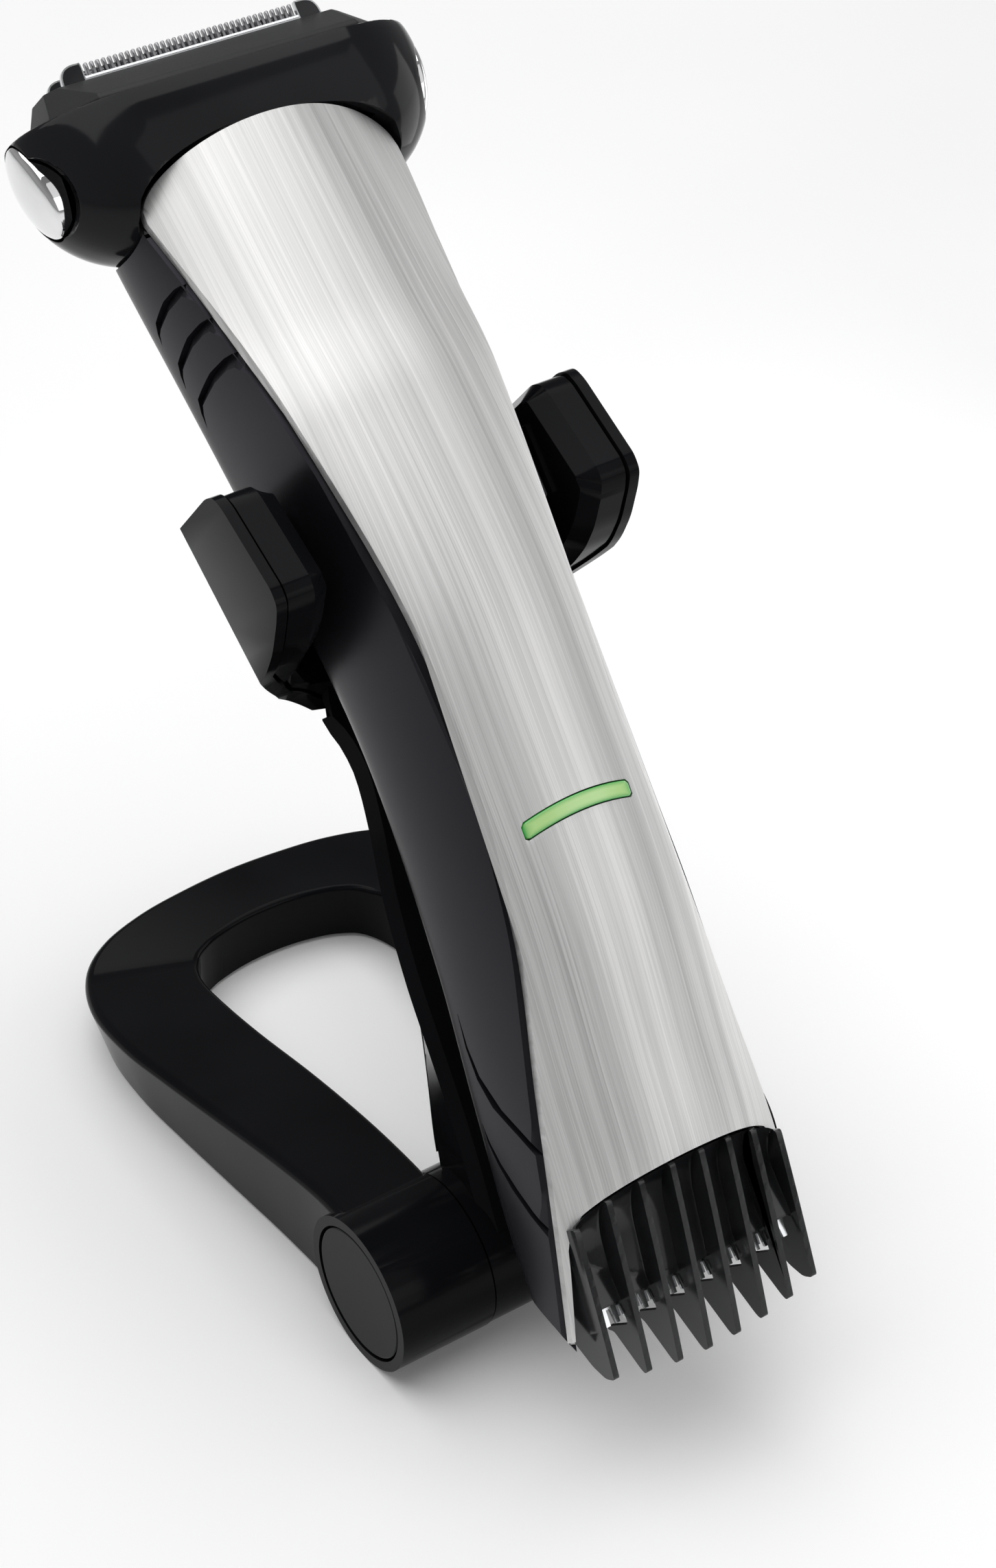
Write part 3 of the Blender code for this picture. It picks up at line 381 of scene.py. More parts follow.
def circle(radius, count=72, center=(0.0, 0.0)):
    angles = [math.tau * i / count for i in range(count)]
    return [(center[0] + radius * math.cos(a), center[1] + radius * math.sin(a)) for a in angles]


def rod(radius, axis, low, high, center=(0.0, 0.0), count=72):
    return prism(circle(radius, count, center), axis, low, high)


def joined(*parts):
    """Several meshes as one."""
    bm = bmesh.new()
    for part in parts:
        mesh = bpy.data.meshes.new("part")
        part.to_mesh(mesh)
        part.free()
        bm.from_mesh(mesh)
        bpy.data.meshes.remove(mesh)
    return bm


def mirrored(bm):
    """The mesh and its mirror image in x."""
    copy = bm.copy()
    bmesh.ops.scale(copy, verts=copy.verts, vec=(-1, 1, 1))
    bmesh.ops.reverse_faces(copy, faces=copy.faces)
    return joined(bm, copy)


def to_object(name, bm, matrix):
    """An object of this mesh, cleaned and brought to metres."""
    bmesh.ops.remove_doubles(bm, verts=bm.verts, dist=1e-4)
    bmesh.ops.recalc_face_normals(bm, faces=bm.faces)
    bmesh.ops.scale(bm, verts=bm.verts, vec=(MM, MM, MM))
    mesh = bpy.data.meshes.new(name)
    bm.to_mesh(mesh)
    bm.free()
    obj = bpy.data.objects.new(name, mesh)
    bpy.context.scene.collection.objects.link(obj)
    obj.matrix_world = matrix
    return obj


def piece(name, bm, matrix, body, look, replaces=(), cuts=(), bevel=0.0, segments=3, angle=32.0):
    """A finished piece: Boolean cuts, then rounded edges, made one plain mesh that rides on its body."""
    obj = to_object(name, bm, matrix)
    helpers = []
    for operation, other in cuts:
        helper = to_object(f"{name}_helper", other, matrix)
        helpers.append(helper)
        modifier = obj.modifiers.new("Boolean", "BOOLEAN")
        modifier.operation = operation
        modifier.solver = "EXACT"
        modifier.object = helper
    if bevel:
        modifier = obj.modifiers.new("Bevel", "BEVEL")
        modifier.width = bevel * MM
        modifier.segments = segments
        modifier.limit_method = "ANGLE"
        modifier.angle_limit = math.radians(angle)
        modifier.miter_outer = "MITER_ARC"
    bpy.context.view_layer.update()
    graph = bpy.context.evaluated_depsgraph_get()
    mesh = bpy.data.meshes.new_from_object(obj.evaluated_get(graph))
    obj.modifiers.clear()
    mesh.transform(matrix)
    obj.data = mesh
    obj.matrix_world = Matrix.Identity(4)
    mesh.materials.clear()
    mesh.materials.append(LOOKS[look])
    mesh.shade_smooth()
    mesh.set_sharp_from_angle(angle=math.radians(40.0 if bevel else angle))
    for helper in helpers:
        bpy.data.objects.remove(helper)
    if bevel:
        weighted = obj.modifiers.new("Normals", "WEIGHTED_NORMAL")
        weighted.keep_sharp = True
    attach(obj, body)
    if replaces:
        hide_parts(*replaces)
    return obj


# ---------------------------------------------------------------- handle surfaces

def section(v):
    """Seam x, seam w, crown w, half width, widest w and back w of the handle at v."""
    return [curve_value(SECTIONS, column, v) for column in range(1, 7)]


def cover_w(x, v, drop=0.0):
    """Height of the front cover's outer face, less drop."""
    seam_x, seam_w, crown_w = section(v)[:3]
    return seam_w + (crown_w - seam_w) * (1 - min(abs(x / seam_x), 1.0) ** COVER_POWER) - drop


def side_points(v, inset, count):
    """The housing's outline from the right seam round the back to the left seam."""
    seam_x, seam_w, _, half, widest_w, back_w = section(v)
    half, back_w, seam_x = half - inset, back_w + inset, seam_x - inset
    bulge = (half, widest_w + 0.45 * (seam_w - widest_w))
    points = []
    for i in range(count):
        t = i / count
        a, b, c = (1 - t) ** 2, 2 * t * (1 - t), t * t
        points.append((a * seam_x + b * bulge[0] + c * half, a * seam_w + b * bulge[1] + c * widest_w))
    for i in range(count + 1):
        t = math.pi / 2 * i / count
        power = 2 / BACK_POWER
        points.append((
            half * math.cos(t) ** power if i < count else 0.0,
            widest_w - (widest_w - back_w) * math.sin(t) ** power,
        ))
    return points + [(-x, w) for x, w in reversed(points[:-1])]


def side_x(v, w):
    """Half width of the housing's side at height w."""
    ring = side_points(v, 0.0, 24)[:49]
    for (x0, w0), (x1, w1) in zip(ring, ring[1:]):
        if w1 <= w <= w0:
            return lerp(x0, x1, (w0 - w) / max(w0 - w1, 1e-6))
    return ring[0][0]


def cover_top(t):
    """Upper edge of the front cover, arched over the head; t runs from -1 to 1 across it."""
    side_v, rise = 170.0, 8.5
    return side_v + rise * math.sqrt(max(1 - t * t, 0.0))


def arch_v(x):
    """Lower edge of the front cover, arched over the comb."""
    return ARCH_V + ARCH_RISE * math.sqrt(max(1 - (x / COMB_WALL_HALF) ** 2, 0.0))


def cover_x(t, v):
    """Across the cover: LEG_SHARE is the legs' inner edge, which runs straight beside the comb."""
    seam_x = section(v)[0]
    straight = smooth_step((50.0 - v) / 24.0)
    knee = LEG_SHARE * seam_x * (1 - straight) + COMB_HALF * straight
    part = abs(t) / LEG_SHARE
    x = knee * part if part <= 1 else knee + (seam_x - knee) * (abs(t) - LEG_SHARE) / 0.07
    return math.copysign(x, t)


def comb_opening():
    """The opening over the comb: the arch, rounded down into a straight side beside each leg."""
    side = [(COMB_HALF + 1.5, -10.0), (COMB_HALF + 1.5, 8.0), (COMB_HALF + 0.2, 19.5), (COMB_HALF, 21.6),
            (COMB_WALL_HALF, 23.0), (16.6, 24.2)]
    arch_half = 15.4
    arch = [(x, arch_v(x) - 0.25 * (abs(x) / arch_half) ** 4) for x in steps(arch_half, -arch_half, 60)]
    return prism(side + arch + [(-x, v) for x, v in reversed(side)], "w", -30.0, 40.0)


def cover_shell(inset, thickness, margin, lift=0.0, columns=96, rows=110):
    """The front cover before its comb opening is cut, or the cutter that makes room for it."""
    rings = []
    for t in steps(-1.0, 1.0, columns):
        low, high = LEG_V - margin, cover_top(t) + margin
        outer, inner = [], []
        for v in steps(low, high, rows):
            x = cover_x(t, v) - inset * t
            outer.append((x, v, cover_w(x, v, -lift)))
            inner.append((x, v, cover_w(x, v, thickness)))
        rings.append(outer + inner[::-1])
    return loft(rings)


def light_bar(grow, depth, rise):
    """The light bar, following the cover's surface: from depth below it to rise above it."""
    rings = []
    half = BAR_HALF + grow
    for x in steps(-half, half, 40):
        reach = 0.5 * BAR_HEIGHT + grow - 0.45 * max(abs(x) / half - 0.95, 0.0) / 0.05
        middle = BAR_V - BAR_BOW * (x / BAR_HALF) ** 2
        rows = steps(middle - reach, middle + reach, 4)
        rings.append([(x, v, cover_w(x, v, -rise)) for v in rows]
                     + [(x, v, cover_w(x, v, depth)) for v in rows[::-1]])
    return loft(rings)


def grip_mark(line, inner):
    """A wedge-shaped cutter along a chevron: deep at the line, and running out at its inner edge."""
    full_width, above = 0.9, 1.5
    rings = []
    for (v, w), (v_in, w_in) in zip(line, inner):
        x, x_in = side_x(v, w), side_x(v_in, w_in)
        depth = MARK_DEPTH * min(math.hypot(v_in - v, w_in - w) / full_width, 1.0)
        rings.append([(x - depth, v, w), (x + above, v, w),
                      (x_in + above, v_in, w_in), (x_in + 0.03, v_in, w_in)])
    return loft(rings)


def tail_facet():
    """A cutter that chamfers the housing's side along the slanted cut at its tail."""
    edge = [(5.6, -0.2), (6.7, -3.8), (9.6, -6.8), (12.6, -9.8), (15.6, -12.8)]
    width, depth, above = 1.4, 1.1, 3.0
    rings = []
    for v, w in edge:
        v_in, w_in = v + width, w + width
        x, x_in = side_x(v, w), side_x(v_in, w_in)
        rings.append([(x - depth, v, w), (x + above, v, w),
                      (x_in + above, v_in, w_in), (x_in + 0.02, v_in, w_in)])
    return loft(rings)


# Upper grip marks, each as (v, w) of its top and (v, w) of its foot
UPPER_MARKS = [(160.8, 9.0, 158.4, 0.4), (155.2, 10.8, 152.3, 0.6), (149.6, 12.3, 146.8, 0.9)]

# Lower grip marks, as the points (v, w) of the deep line and of the inner edge
LOWER_MARKS = [
    ([(56.8, -0.2), (52.0, -1.5), (47.4, -1.7), (43.2, -0.5),
      (38.8, 2.6), (34.6, 5.4), (38.6, 6.6), (42.6, 8.0)],
     [(56.7, -0.1), (52.0, -0.9), (47.8, -0.7), (42.6, 1.4),
      (38.9, 3.9), (37.4, 4.9), (39.2, 6.0), (42.6, 7.9)]),
    ([(41.4, -5.2), (38.4, -5.5), (35.4, -5.0), (31.6, -3.7),
      (27.4, -1.4), (24.2, 1.0), (27.6, 2.4), (31.4, 4.0)],
     [(41.3, -5.1), (38.4, -4.9), (35.4, -4.1), (31.4, -2.3),
      (28.0, -0.4), (26.9, 0.4), (28.4, 1.9), (31.4, 3.9)]),
]


def upper_mark(top_v, top_w, foot_v, foot_w):
    reach = (top_w - foot_w) / 11.4             # the size of this mark beside a full one
    bend_v = lerp(top_v, foot_v, 0.28)
    line = [(top_v - 3.6 * reach, top_w + 1.5 * reach), (top_v - 1.7 * reach, top_w + 0.75 * reach),
            (top_v - 0.1, top_w + 0.1), (top_v - 0.1, lerp(top_w, foot_w, 0.15)),
            (bend_v, lerp(top_w, foot_w, 0.5)), (foot_v, foot_w),
            (foot_v - 1.8 * reach, foot_w - 1.0), (foot_v - 3.8 * reach, foot_w - 1.5)]
    inner = [(top_v - 3.7 * reach, top_w + 1.4 * reach), (top_v - 2.6 * reach, top_w + 0.1),
             (top_v - 1.9 * reach, top_w - 0.6), (top_v - 1.7, lerp(top_w, foot_w, 0.2)),
             (bend_v - 1.5, lerp(top_w, foot_w, 0.5)), (foot_v - 1.1, foot_w + 0.5),
             (foot_v - 2.2 * reach, foot_w - 0.5), (foot_v - 3.9 * reach, foot_w - 1.45)]
    return grip_mark(line, inner)


def housing_hollow():
    """The room inside the housing: its wall is SHELL_T thick, and thinner beside the comb."""
    thin, above_seam = 1.0, 9.0
    rings = []
    for v in [3.0] + steps(12.0, 150.0, 14) + [SEAT_V - 2.5]:
        wall = thin + (SHELL_T - thin) * smooth_step((v - 26.0) / 20.0)
        ring = [(x, v, w) for x, w in side_points(v, wall, 7)]
        ring[0] = (ring[0][0], v, ring[0][2] + above_seam)
        ring[-1] = (ring[-1][0], v, ring[-1][2] + above_seam)
        rings.append(ring)
    return loft(rings)


def make_handle():
    levels = [4.0] + steps(6.0, 172.0, 83)
    outside = loft([[(x, v, w) for x, w in side_points(v, 0.0, 22)] for v in levels])
    tail_cut = prism([(-10.0, 2.0), (7.5, -1.5), (7.0, -4.0), (17.0, -14.0), (19.0, -30.0), (-10.0, -30.0)],
                     "x", -40.0, 40.0)
    marks = [upper_mark(*mark) for mark in UPPER_MARKS] + [grip_mark(*mark) for mark in LOWER_MARKS]
    switch_opening = box(-4.4, 4.4, 118.0, 136.0, -20.0, -2.0)
    piece(
        "housing_shell", outside, GROOMER, "handle", "grip", ["handle_rear_housing"],
        [("DIFFERENCE", housing_hollow()), ("DIFFERENCE", tail_cut),
         ("DIFFERENCE", cover_shell(-0.5, 2.1, 0.4, 4.0, 40, 60)),
         ("DIFFERENCE", mirrored(joined(*marks))), ("DIFFERENCE", mirrored(tail_facet())),
         ("DIFFERENCE", switch_opening), ("DIFFERENCE", pod_shape(0.4, 200.0))],
        angle=30.0,
    )
    piece("front_cover", cover_shell(0.3, COVER_T, 0.0), GROOMER, "handle", "brushed",
          ["handle_front_cover"], [("DIFFERENCE", comb_opening()), ("DIFFERENCE", light_bar(0.18, 8.0, 8.0))],
          0.28, 3, 50.0)
    piece("light_bar", light_bar(0.0, 1.4, 0.12), GROOMER, "handle", "light",
          ["handle_light_bar"], bevel=0.22)


# ---------------------------------------------------------------- shaving head

def pod_ring(x, grow, top, count):
    """The pod's section at x, grown outwards, and levelled off below top."""
    over = max(abs(x) - (HEAD_HALF - HEAD_R), 0.0) / (HEAD_R + grow)
    scale = max(math.sqrt(max(1 - over * over, 0.0)) * (1 - HEAD_TAPER * over), 0.02)
    ring = []
    for i in range(count):
        a = math.tau * (i + 0.5) / count
        up = math.copysign(abs(math.cos(a)) ** (2 / HEAD_POWER), math.cos(a))
        out = math.copysign(abs(math.sin(a)) ** (2 / HEAD_POWER), math.sin(a))
        v = HEAD_V + (HEAD_R + grow) * up * scale
        if v > top - 4.0:
            v = top - CREASE_ROUND * math.log(1 + math.exp((top - v) / CREASE_ROUND))
        ring.append((x, v, HEAD_W + (HEAD_DEPTH + grow) * out * scale))
    return ring


def pod_shape(grow, top, count=72, ends=24):
    """The whole pod, with rounded ends."""
    turns = [math.sin(math.pi / 2 * i / ends) for i in range(ends)] + [0.9997]
    places = [HEAD_HALF - HEAD_R + (HEAD_R + grow) * turn for turn in turns]
    return loft([pod_ring(x, grow, top, count) for x in [-x for x in reversed(places)] + [0.0] + places])


def button_hole(x0, x1):
    """An oval hole round a release button."""
    half_v, half_w, count = 7.1, 5.3, 48
    outline = [(BUTTON_V + half_v * math.cos(a), BUTTON_W + half_w * math.sin(a))
               for a in [math.tau * i / count for i in range(count)]]
    return prism(outline, "x", x0, x1)


def pod_pocket():
    """The room in the pod's top that the upper frame sinks into: the pod's outline, drawn in."""
    half, inset, floor_v, top_v, no_top = 26.3, 0.45, 183.2, 200.0, 250.0
    rings = []
    for x in steps(-half, half, 40):
        ring = [(x, max(v, floor_v), w) for x, v, w in pod_ring(x, -inset, no_top, 72)]
        rings.append([(x, top_v if v > CREASE_V - 1.0 else v, w) for x, v, w in ring])
    return loft(rings)


def scoop(side):
    """The dished hollow in the pod beside a release button."""
    center, radii = (side * 34.0, 177.2, 3.4), (7.6, 7.6, 8.6)
    bm = bmesh.new()
    bmesh.ops.create_uvsphere(bm, u_segments=64, v_segments=40, radius=1.0)
    bmesh.ops.scale(bm, verts=bm.verts, vec=radii)
    bmesh.ops.translate(bm, verts=bm.verts, vec=center)
    return bm


def button_dome(side):
    """A release button: an oval slug whose face follows the pod's end."""
    proud, root_x, count = 0.12, 27.2, 64
    # Each row: its share of the oval, and how far its edge rounds down; the last row is the root
    rows = [(0.02, 0.0), (0.2, 0.0), (0.4, 0.0), (0.6, 0.0), (0.8, 0.0), (0.92, 0.03), (0.97, 0.14),
            (0.995, 0.36), (1.0, 0.6), (1.0, None)]
    rings = []
    for share, sink in rows:
        ring = []
        for i in range(count):
            a = math.tau * i / count
            v = BUTTON_V + BUTTON_HALF_V * share * math.cos(a)
            w = BUTTON_W + BUTTON_HALF_W * share * math.sin(a)
            far = math.hypot((v - HEAD_V) / HEAD_R, (w - HEAD_W) / HEAD_DEPTH)
            x = HEAD_HALF - HEAD_R + HEAD_R * math.sqrt(1 - far * far) + proud
            ring.append((side * (root_x if sink is None else x - sink), v, w))
        rings.append(ring)
    return loft(rings)


def make_head():
    cavity = box(-24.0, 24.0, 175.0, 200.0, HEAD_W - 9.0, HEAD_W + 9.0)
    under_seat = box(-40.0, 40.0, 150.0, SEAT_V + GAP, -30.0, 30.0)
    drive_hole = rod(5.0, "v", 150.0, 180.0, (0.0, 1.0))
    ring_seat = rod(8.9, "v", 150.0, 168.6, (0.0, 1.0))
    cuts = [("DIFFERENCE", cavity), ("DIFFERENCE", pod_pocket()),
            ("DIFFERENCE", cover_shell(-0.6, COVER_T + 0.4, 0.5, 9.0, 40, 60)),
            ("DIFFERENCE", drive_hole), ("DIFFERENCE", under_seat), ("DIFFERENCE", ring_seat)]
    for side in (-1, 1):
        cuts.append(("DIFFERENCE", button_hole(side * 25.6, side * 40.0)))
        cuts.append(("DIFFERENCE", scoop(side)))
    piece("pod_shell", pod_shape(0.0, CREASE_V), GROOMER, "head", "pod", ["head_pod"],
          cuts, 0.25, 2, 50.0)
    for name, side in (("left", -1), ("right", 1)):
        piece(f"button_{name}", button_dome(side), GROOMER, f"release_button_{name}", "chrome",
              [f"release_button_{name}"], angle=60.0)


def guard_x(i, count):
    """The middle of the i-th of count even shares of a guard row."""
    return -GUARD_HALF + 2 * GUARD_HALF / count * (i + 0.5)


def guard_teeth(w):
    """The rounded teeth of a guard row."""
    r, neck_v, half_t = GUARD_TOOTH_R, SKIN_V + GUARD_TOOTH_V, 0.3
    teeth = []
    for x in [guard_x(i, GUARD_TEETH) for i in range(GUARD_TEETH)]:
        crown = [(x - r * math.cos(a), neck_v + r * math.sin(a)) for a in steps(0.5, math.pi - 0.5, 4)]
        outline = [(x - r, SKIN_V), (x - r, neck_v)] + crown + [(x + r, neck_v), (x + r, SKIN_V)]
        teeth.append(prism(outline, "w", w - half_t, w + half_t))
    return joined(*teeth)


def guard_strip(w, out):
    """The folded strip under a guard row's teeth; out is +1 where it faces the front."""
    strip = [(SKIN_V - 1.6, w + 0.3 * out), (SKIN_V - 0.1, w + 0.45 * out), (SKIN_V + 0.35, w + 0.34 * out),
             (SKIN_V + 0.5, w), (SKIN_V + 0.35, w - 0.3 * out), (SKIN_V - 1.6, w - 0.3 * out)]
    return prism(strip, "x", -16.8, 16.8)


def guard_end_outline(below):
    """The outline of a guard row's end block, from below SKIN_V over its crown."""
    return [(16.9, SKIN_V - below), (16.9, SKIN_V + 2.0), (17.3, SKIN_V + 2.25), (18.6, SKIN_V + 2.2),
            (19.5, SKIN_V + 1.8), (20.05, SKIN_V + 1.0), (20.25, SKIN_V), (20.25, SKIN_V - below)]


def guard_end(side, w):
    """The smooth block at the end of a guard row."""
    half_t = 0.32
    return prism([(side * x, v) for x, v in guard_end_outline(1.2)], "w", w - half_t, w + half_t)


def guard_rim(side, w):
    """The bright edge round an end block."""
    half_line, half_t = 0.11, 0.34
    rings = []
    for x, v in resampled(guard_end_outline(0.6), 28):
        away = Vector((x - 18.6, v - SKIN_V)).normalized() * half_line
        low_x, low_v, high_x, high_v = side * (x - away.x), v - away.y, side * (x + away.x), v + away.y
        rings.append([(low_x, low_v, w + half_t), (high_x, high_v, w + half_t),
                      (high_x, high_v, w - half_t), (low_x, low_v, w - half_t)])
    return loft(rings)


def guard_strip_holes(w):
    """Two staggered rows of tiny holes through a guard row's strip."""
    count = 2 * GUARD_TEETH
    return joined(*[rod(0.12, "w", w - 1.0, w + 1.0, (guard_x(i, count), SKIN_V - 0.35 - 0.32 * (i % 2)), 8)
                    for i in range(count)])


def foil_sheet():
    """The shaving foil: a thin arch between two flat skirts."""
    wall, foot_v = 0.12, SKIN_V - FOIL_BASE
    arch = [(SKIN_V + 0.3 + FOIL_RISE * math.sin(a), FOIL_W + FOIL_HALF * math.cos(a))
            for a in steps(0.0, math.pi, 24)]
    inner = [(v - wall, FOIL_W + (w - FOIL_W) * 0.93) for v, w in reversed(arch)]
    outline = [(foot_v, FOIL_W + FOIL_HALF)] + arch + [(foot_v, FOIL_W - FOIL_HALF)]
    outline += [(foot_v, FOIL_W - 1.62)] + inner + [(foot_v, FOIL_W + 1.62)]
    return prism(outline, "x", -16.6, 16.6)


def make_float():
    """The upper frame with its foil and two guard rows."""
    front, rear, half, corner = 10.0, -11.0, 25.7, 5.6
    # Each row: v, half width, rear w, front w and corner cut
    rows = [(185.3, half, rear, front, corner), (CREASE_V + 0.3, half, rear, front, corner),
            (CREASE_V + 1.0, half - 0.3, rear + 0.5, front - 0.5, 5.4), (SKIN_V - 0.3, 23.2, -6.9, 1.5, 1.6)]
    rings = []
    for v, x, low, high, cut in rows:
        right = [(x - cut, v, low), (x, v, low + cut), (x, v, high - cut), (x - cut, v, high)]
        rings.append(right + [(-a, b, c) for a, b, c in reversed(right)])
    piece("upper_frame", loft(rings), GROOMER, "foil_float", "frame", ["foil_frame"],
          [("DIFFERENCE", box(-20.6, 20.6, 170.0, 200.0, -6.25, 0.95))], 0.18, 2, 24.0)
    for name, w, out in (("front", GUARD_FRONT, 1), ("rear", GUARD_REAR, -1)):
        piece(f"{name}_guard_row", guard_strip(w, out), GROOMER, "foil_float", "blade",
              [f"{name}_guard_comb"], [("DIFFERENCE", guard_strip_holes(w))], 0.06, 2, 40.0)
        piece(f"{name}_guard_teeth", guard_teeth(w), GROOMER, "foil_float", "tooth",
              bevel=0.05, segments=2)
        for side, where in ((-1, "left"), (1, "right")):
            piece(f"{name}_guard_end_{where}", guard_end(side, w), GROOMER, "foil_float", "smoke_block",
                  bevel=0.12, segments=2)
            piece(f"{name}_guard_rim_{where}", guard_rim(side, w), GROOMER, "foil_float", "blade")
    piece("foil_sheet", foil_sheet(), GROOMER, "foil_float", "foil", ["shaving_foil"])


# ---------------------------------------------------------------- trimmer end

def comb_top(x):
    """Upper edge of the comb, just under the cover's arch."""
    return arch_v(x) - 0.4


def comb_front(x, v):
    """Front edge of the comb's teeth: flush with the cover above, thinning to the tips."""
    bow = (x / COMB_TIP_HALF) ** 2
    top_w, tip_w = 11.4 - 5.0 * bow, 0.4 - 1.3 * bow
    t = min(max(v / comb_top(x), 0.0), 1.0)
    return tip_w + (top_w - tip_w) * (1.12 * t - 0.12 * t * t)


def web_depth(x, v):
    """How far the comb's wall lies behind the teeth's front: a bowl under the arch."""
    down = min((comb_top(x) - v) / 6.0, 1.0)
    return 0.3 + 3.9 * math.sqrt(1 - (1 - down) ** 2)


def comb_tooth(x, outermost):
    """A tooth of the comb: the outermost two have no notch for the blades."""
    top, tip = comb_top(x), 0.4 + 2.1 * (x / COMB_TIP_HALF) ** 2
    edge = [(v, comb_front(x, v)) for v in [tip + 0.05] + steps(3.6, top, 8)]
    if outermost:
        back = [(top, comb_front(x, top) - 4.4), (16.0, -1.5), (9.4, -8.2), (8.0, -7.5), (4.6, -4.9),
                (tip + 0.3, -2.4)]
    else:
        back = [(top, comb_front(x, top) - 4.6), (12.4, 0.6), (8.6, 0.6), (8.4, -6.2), (7.9, -6.2),
                (6.2 + tip, -4.7), (tip + 0.6, -1.2), (tip - 0.1, -0.5)]
    return prism(rounded(edge + back, 0.75, 3), "x", x - TOOTH_T / 2, x + TOOTH_T / 2)


def make_comb():
    low_v, floor_w, wall = 12.2, 1.45, 0.85
    rings = []
    for x in steps(-COMB_WALL_HALF, COMB_WALL_HALF, 48):
        front = [(x, v, max(comb_front(x, v) - web_depth(x, v), floor_w))
                 for v in steps(low_v, comb_top(x) - 0.1, 26)]
        rings.append(front + [(x, v, w - wall) for x, v, w in reversed(front)])
    span = 0.5 * (TEETH - 1) * TOOTH_PITCH
    teeth = [("UNION", comb_tooth(-span + i * TOOTH_PITCH, i in (0, TEETH - 1))) for i in range(TEETH)]
    piece("guide_comb", loft(rings), GROOMER, "comb", "comb", ["body_comb"], teeth,
          0.13, 2, 40.0)


# ---------------------------------------------------------------- stand

def loop_points():
    """Inner and outer edge of the base loop from the left leg round the rear to the right leg."""
    inner = [(18.3, 0.0), (17.5, 12.0), (17.2, 24.0), (17.5, 38.0), (18.3, 52.0), (18.5, 63.0)]
    outer = [(33.3, 0.0), (32.6, 12.0), (33.2, 24.0), (34.6, 38.0), (36.0, 52.0), (LOOP_HALF, 63.0)]
    right = [(*i, *o) for i, o in zip(inner, outer)]
    right += [(17.9, 71.0, 36.1, 74.2), (15.6, 76.6, 32.6, 83.4), (12.0, 79.2, 26.8, 88.8),
              (8.0, 80.5, 18.4, 92.0), (4.0, 81.2, 9.4, 93.5), (0.0, 81.4, 0.0, REAR_Y)]
    left = [(-ix, iy, -ox, oy) for ix, iy, ox, oy in right]
    loop = resampled(left + right[-2::-1], 132)
    return [(ix, iy, max(min(ox, LOOP_HALF), -LOOP_HALF), min(oy, REAR_Y)) for ix, iy, ox, oy in loop]


def loop_top(y):
    """Height of the loop: the legs slope down to the rear arc."""
    return max(LEG_TOP - LEG_SLOPE * max(y - 4.0, 0.0), REAR_TOP)


def loop_rings(inset, low, drop, inner_r, outer_r, front=-1.0):
    """Sections of the base loop, with rounded upper edges."""
    rings = []
    for ix, iy, ox, oy in loop_points():
        if iy < front:
            continue
        across = Vector((ox - ix, oy - iy))
        width = across.length
        across.normalize()
        top = loop_top(0.5 * (iy + oy)) - drop
        profile = [(inset, low)]
        profile += [(inset + inner_r * (1 - math.cos(a)), top - inner_r * (1 - math.sin(a)))
                    for a in steps(0.0, math.pi / 2, 5)]
        profile += [(width - inset - outer_r * (1 - math.sin(a)), top - outer_r * (1 - math.cos(a)))
                    for a in steps(0.0, math.pi / 2, 6)]
        profile.append((width - inset - DRAFT, low))
        rings.append([(ix + across.x * s, iy + across.y * s, z) for s, z in profile])
    return rings


def make_base():
    center, past = (0.0, HINGE_R), 40.0
    cuts = [("UNION", rod(HINGE_R, "x", side * KNUCKLE_IN, side * KNUCKLE_OUT, center, 96))
            for side in (-1, 1)]
    cuts.append(("DIFFERENCE", loft(loop_rings(LOOP_WALL, -1.0, LOOP_WALL, 0.5, 0.5, 20.0))))
    for side in (-1, 1):
        cuts.append(("DIFFERENCE", rod(PIN_BORE_R, "x", side * 10.0, side * past, center, 48)))
        cuts.append(("DIFFERENCE", rod(CAP_SEAT_R, "x", side * (KNUCKLE_OUT - 1.8), side * past, center, 96)))
    rear = REAR_Y - 0.5 * DRAFT
    cuts.append(("DIFFERENCE", rod(INLET_R, "v", rear - 6, rear + 4, (0.0, INLET_Z), 48)))
    cuts.append(("DIFFERENCE", rod(HINGE_R + 0.5, "x", -KNUCKLE_IN, KNUCKLE_IN, center, 96)))
    piece("base_loop", loft(loop_rings(0.0, FLOOR_GAP, 0.0, 0.9, 1.5)), BASE, "stand_base", "gloss",
          ["stand_base_loop"], cuts, 0.3, 3, 40.0)
    for name, side in (("left", -1), ("right", 1)):
        cap = rod(CAP_R, "x", side * (KNUCKLE_OUT - 1.5), side * (KNUCKLE_OUT - 0.1), center, 96)
        piece(f"hinge_cap_{name}", cap, BASE, "stand_base", "gloss",
              [f"stand_hinge_cap_{name}"], bevel=0.35)


# The cradle's U, as (x, w, lean): its outer skin comes forward towards its lower edge by U_LEAN x lean.
U_SKIN = [(28.8, 26.0, 0.0), (28.8, 0.0, 1.0), (26.5, -4.6, 1.0), (21.5, -11.0, 0.5), (15.0, -14.6, 0.1),
          (8.0, -16.0, 0.0)]
U_SEAT = [(20.2, 26.0), (20.2, -3.0), (16.0, -8.6), (10.0, -10.6)]
U_LEAN, U_CORNER_V, SPLIT_V = 0.222, 131.0, 101.3

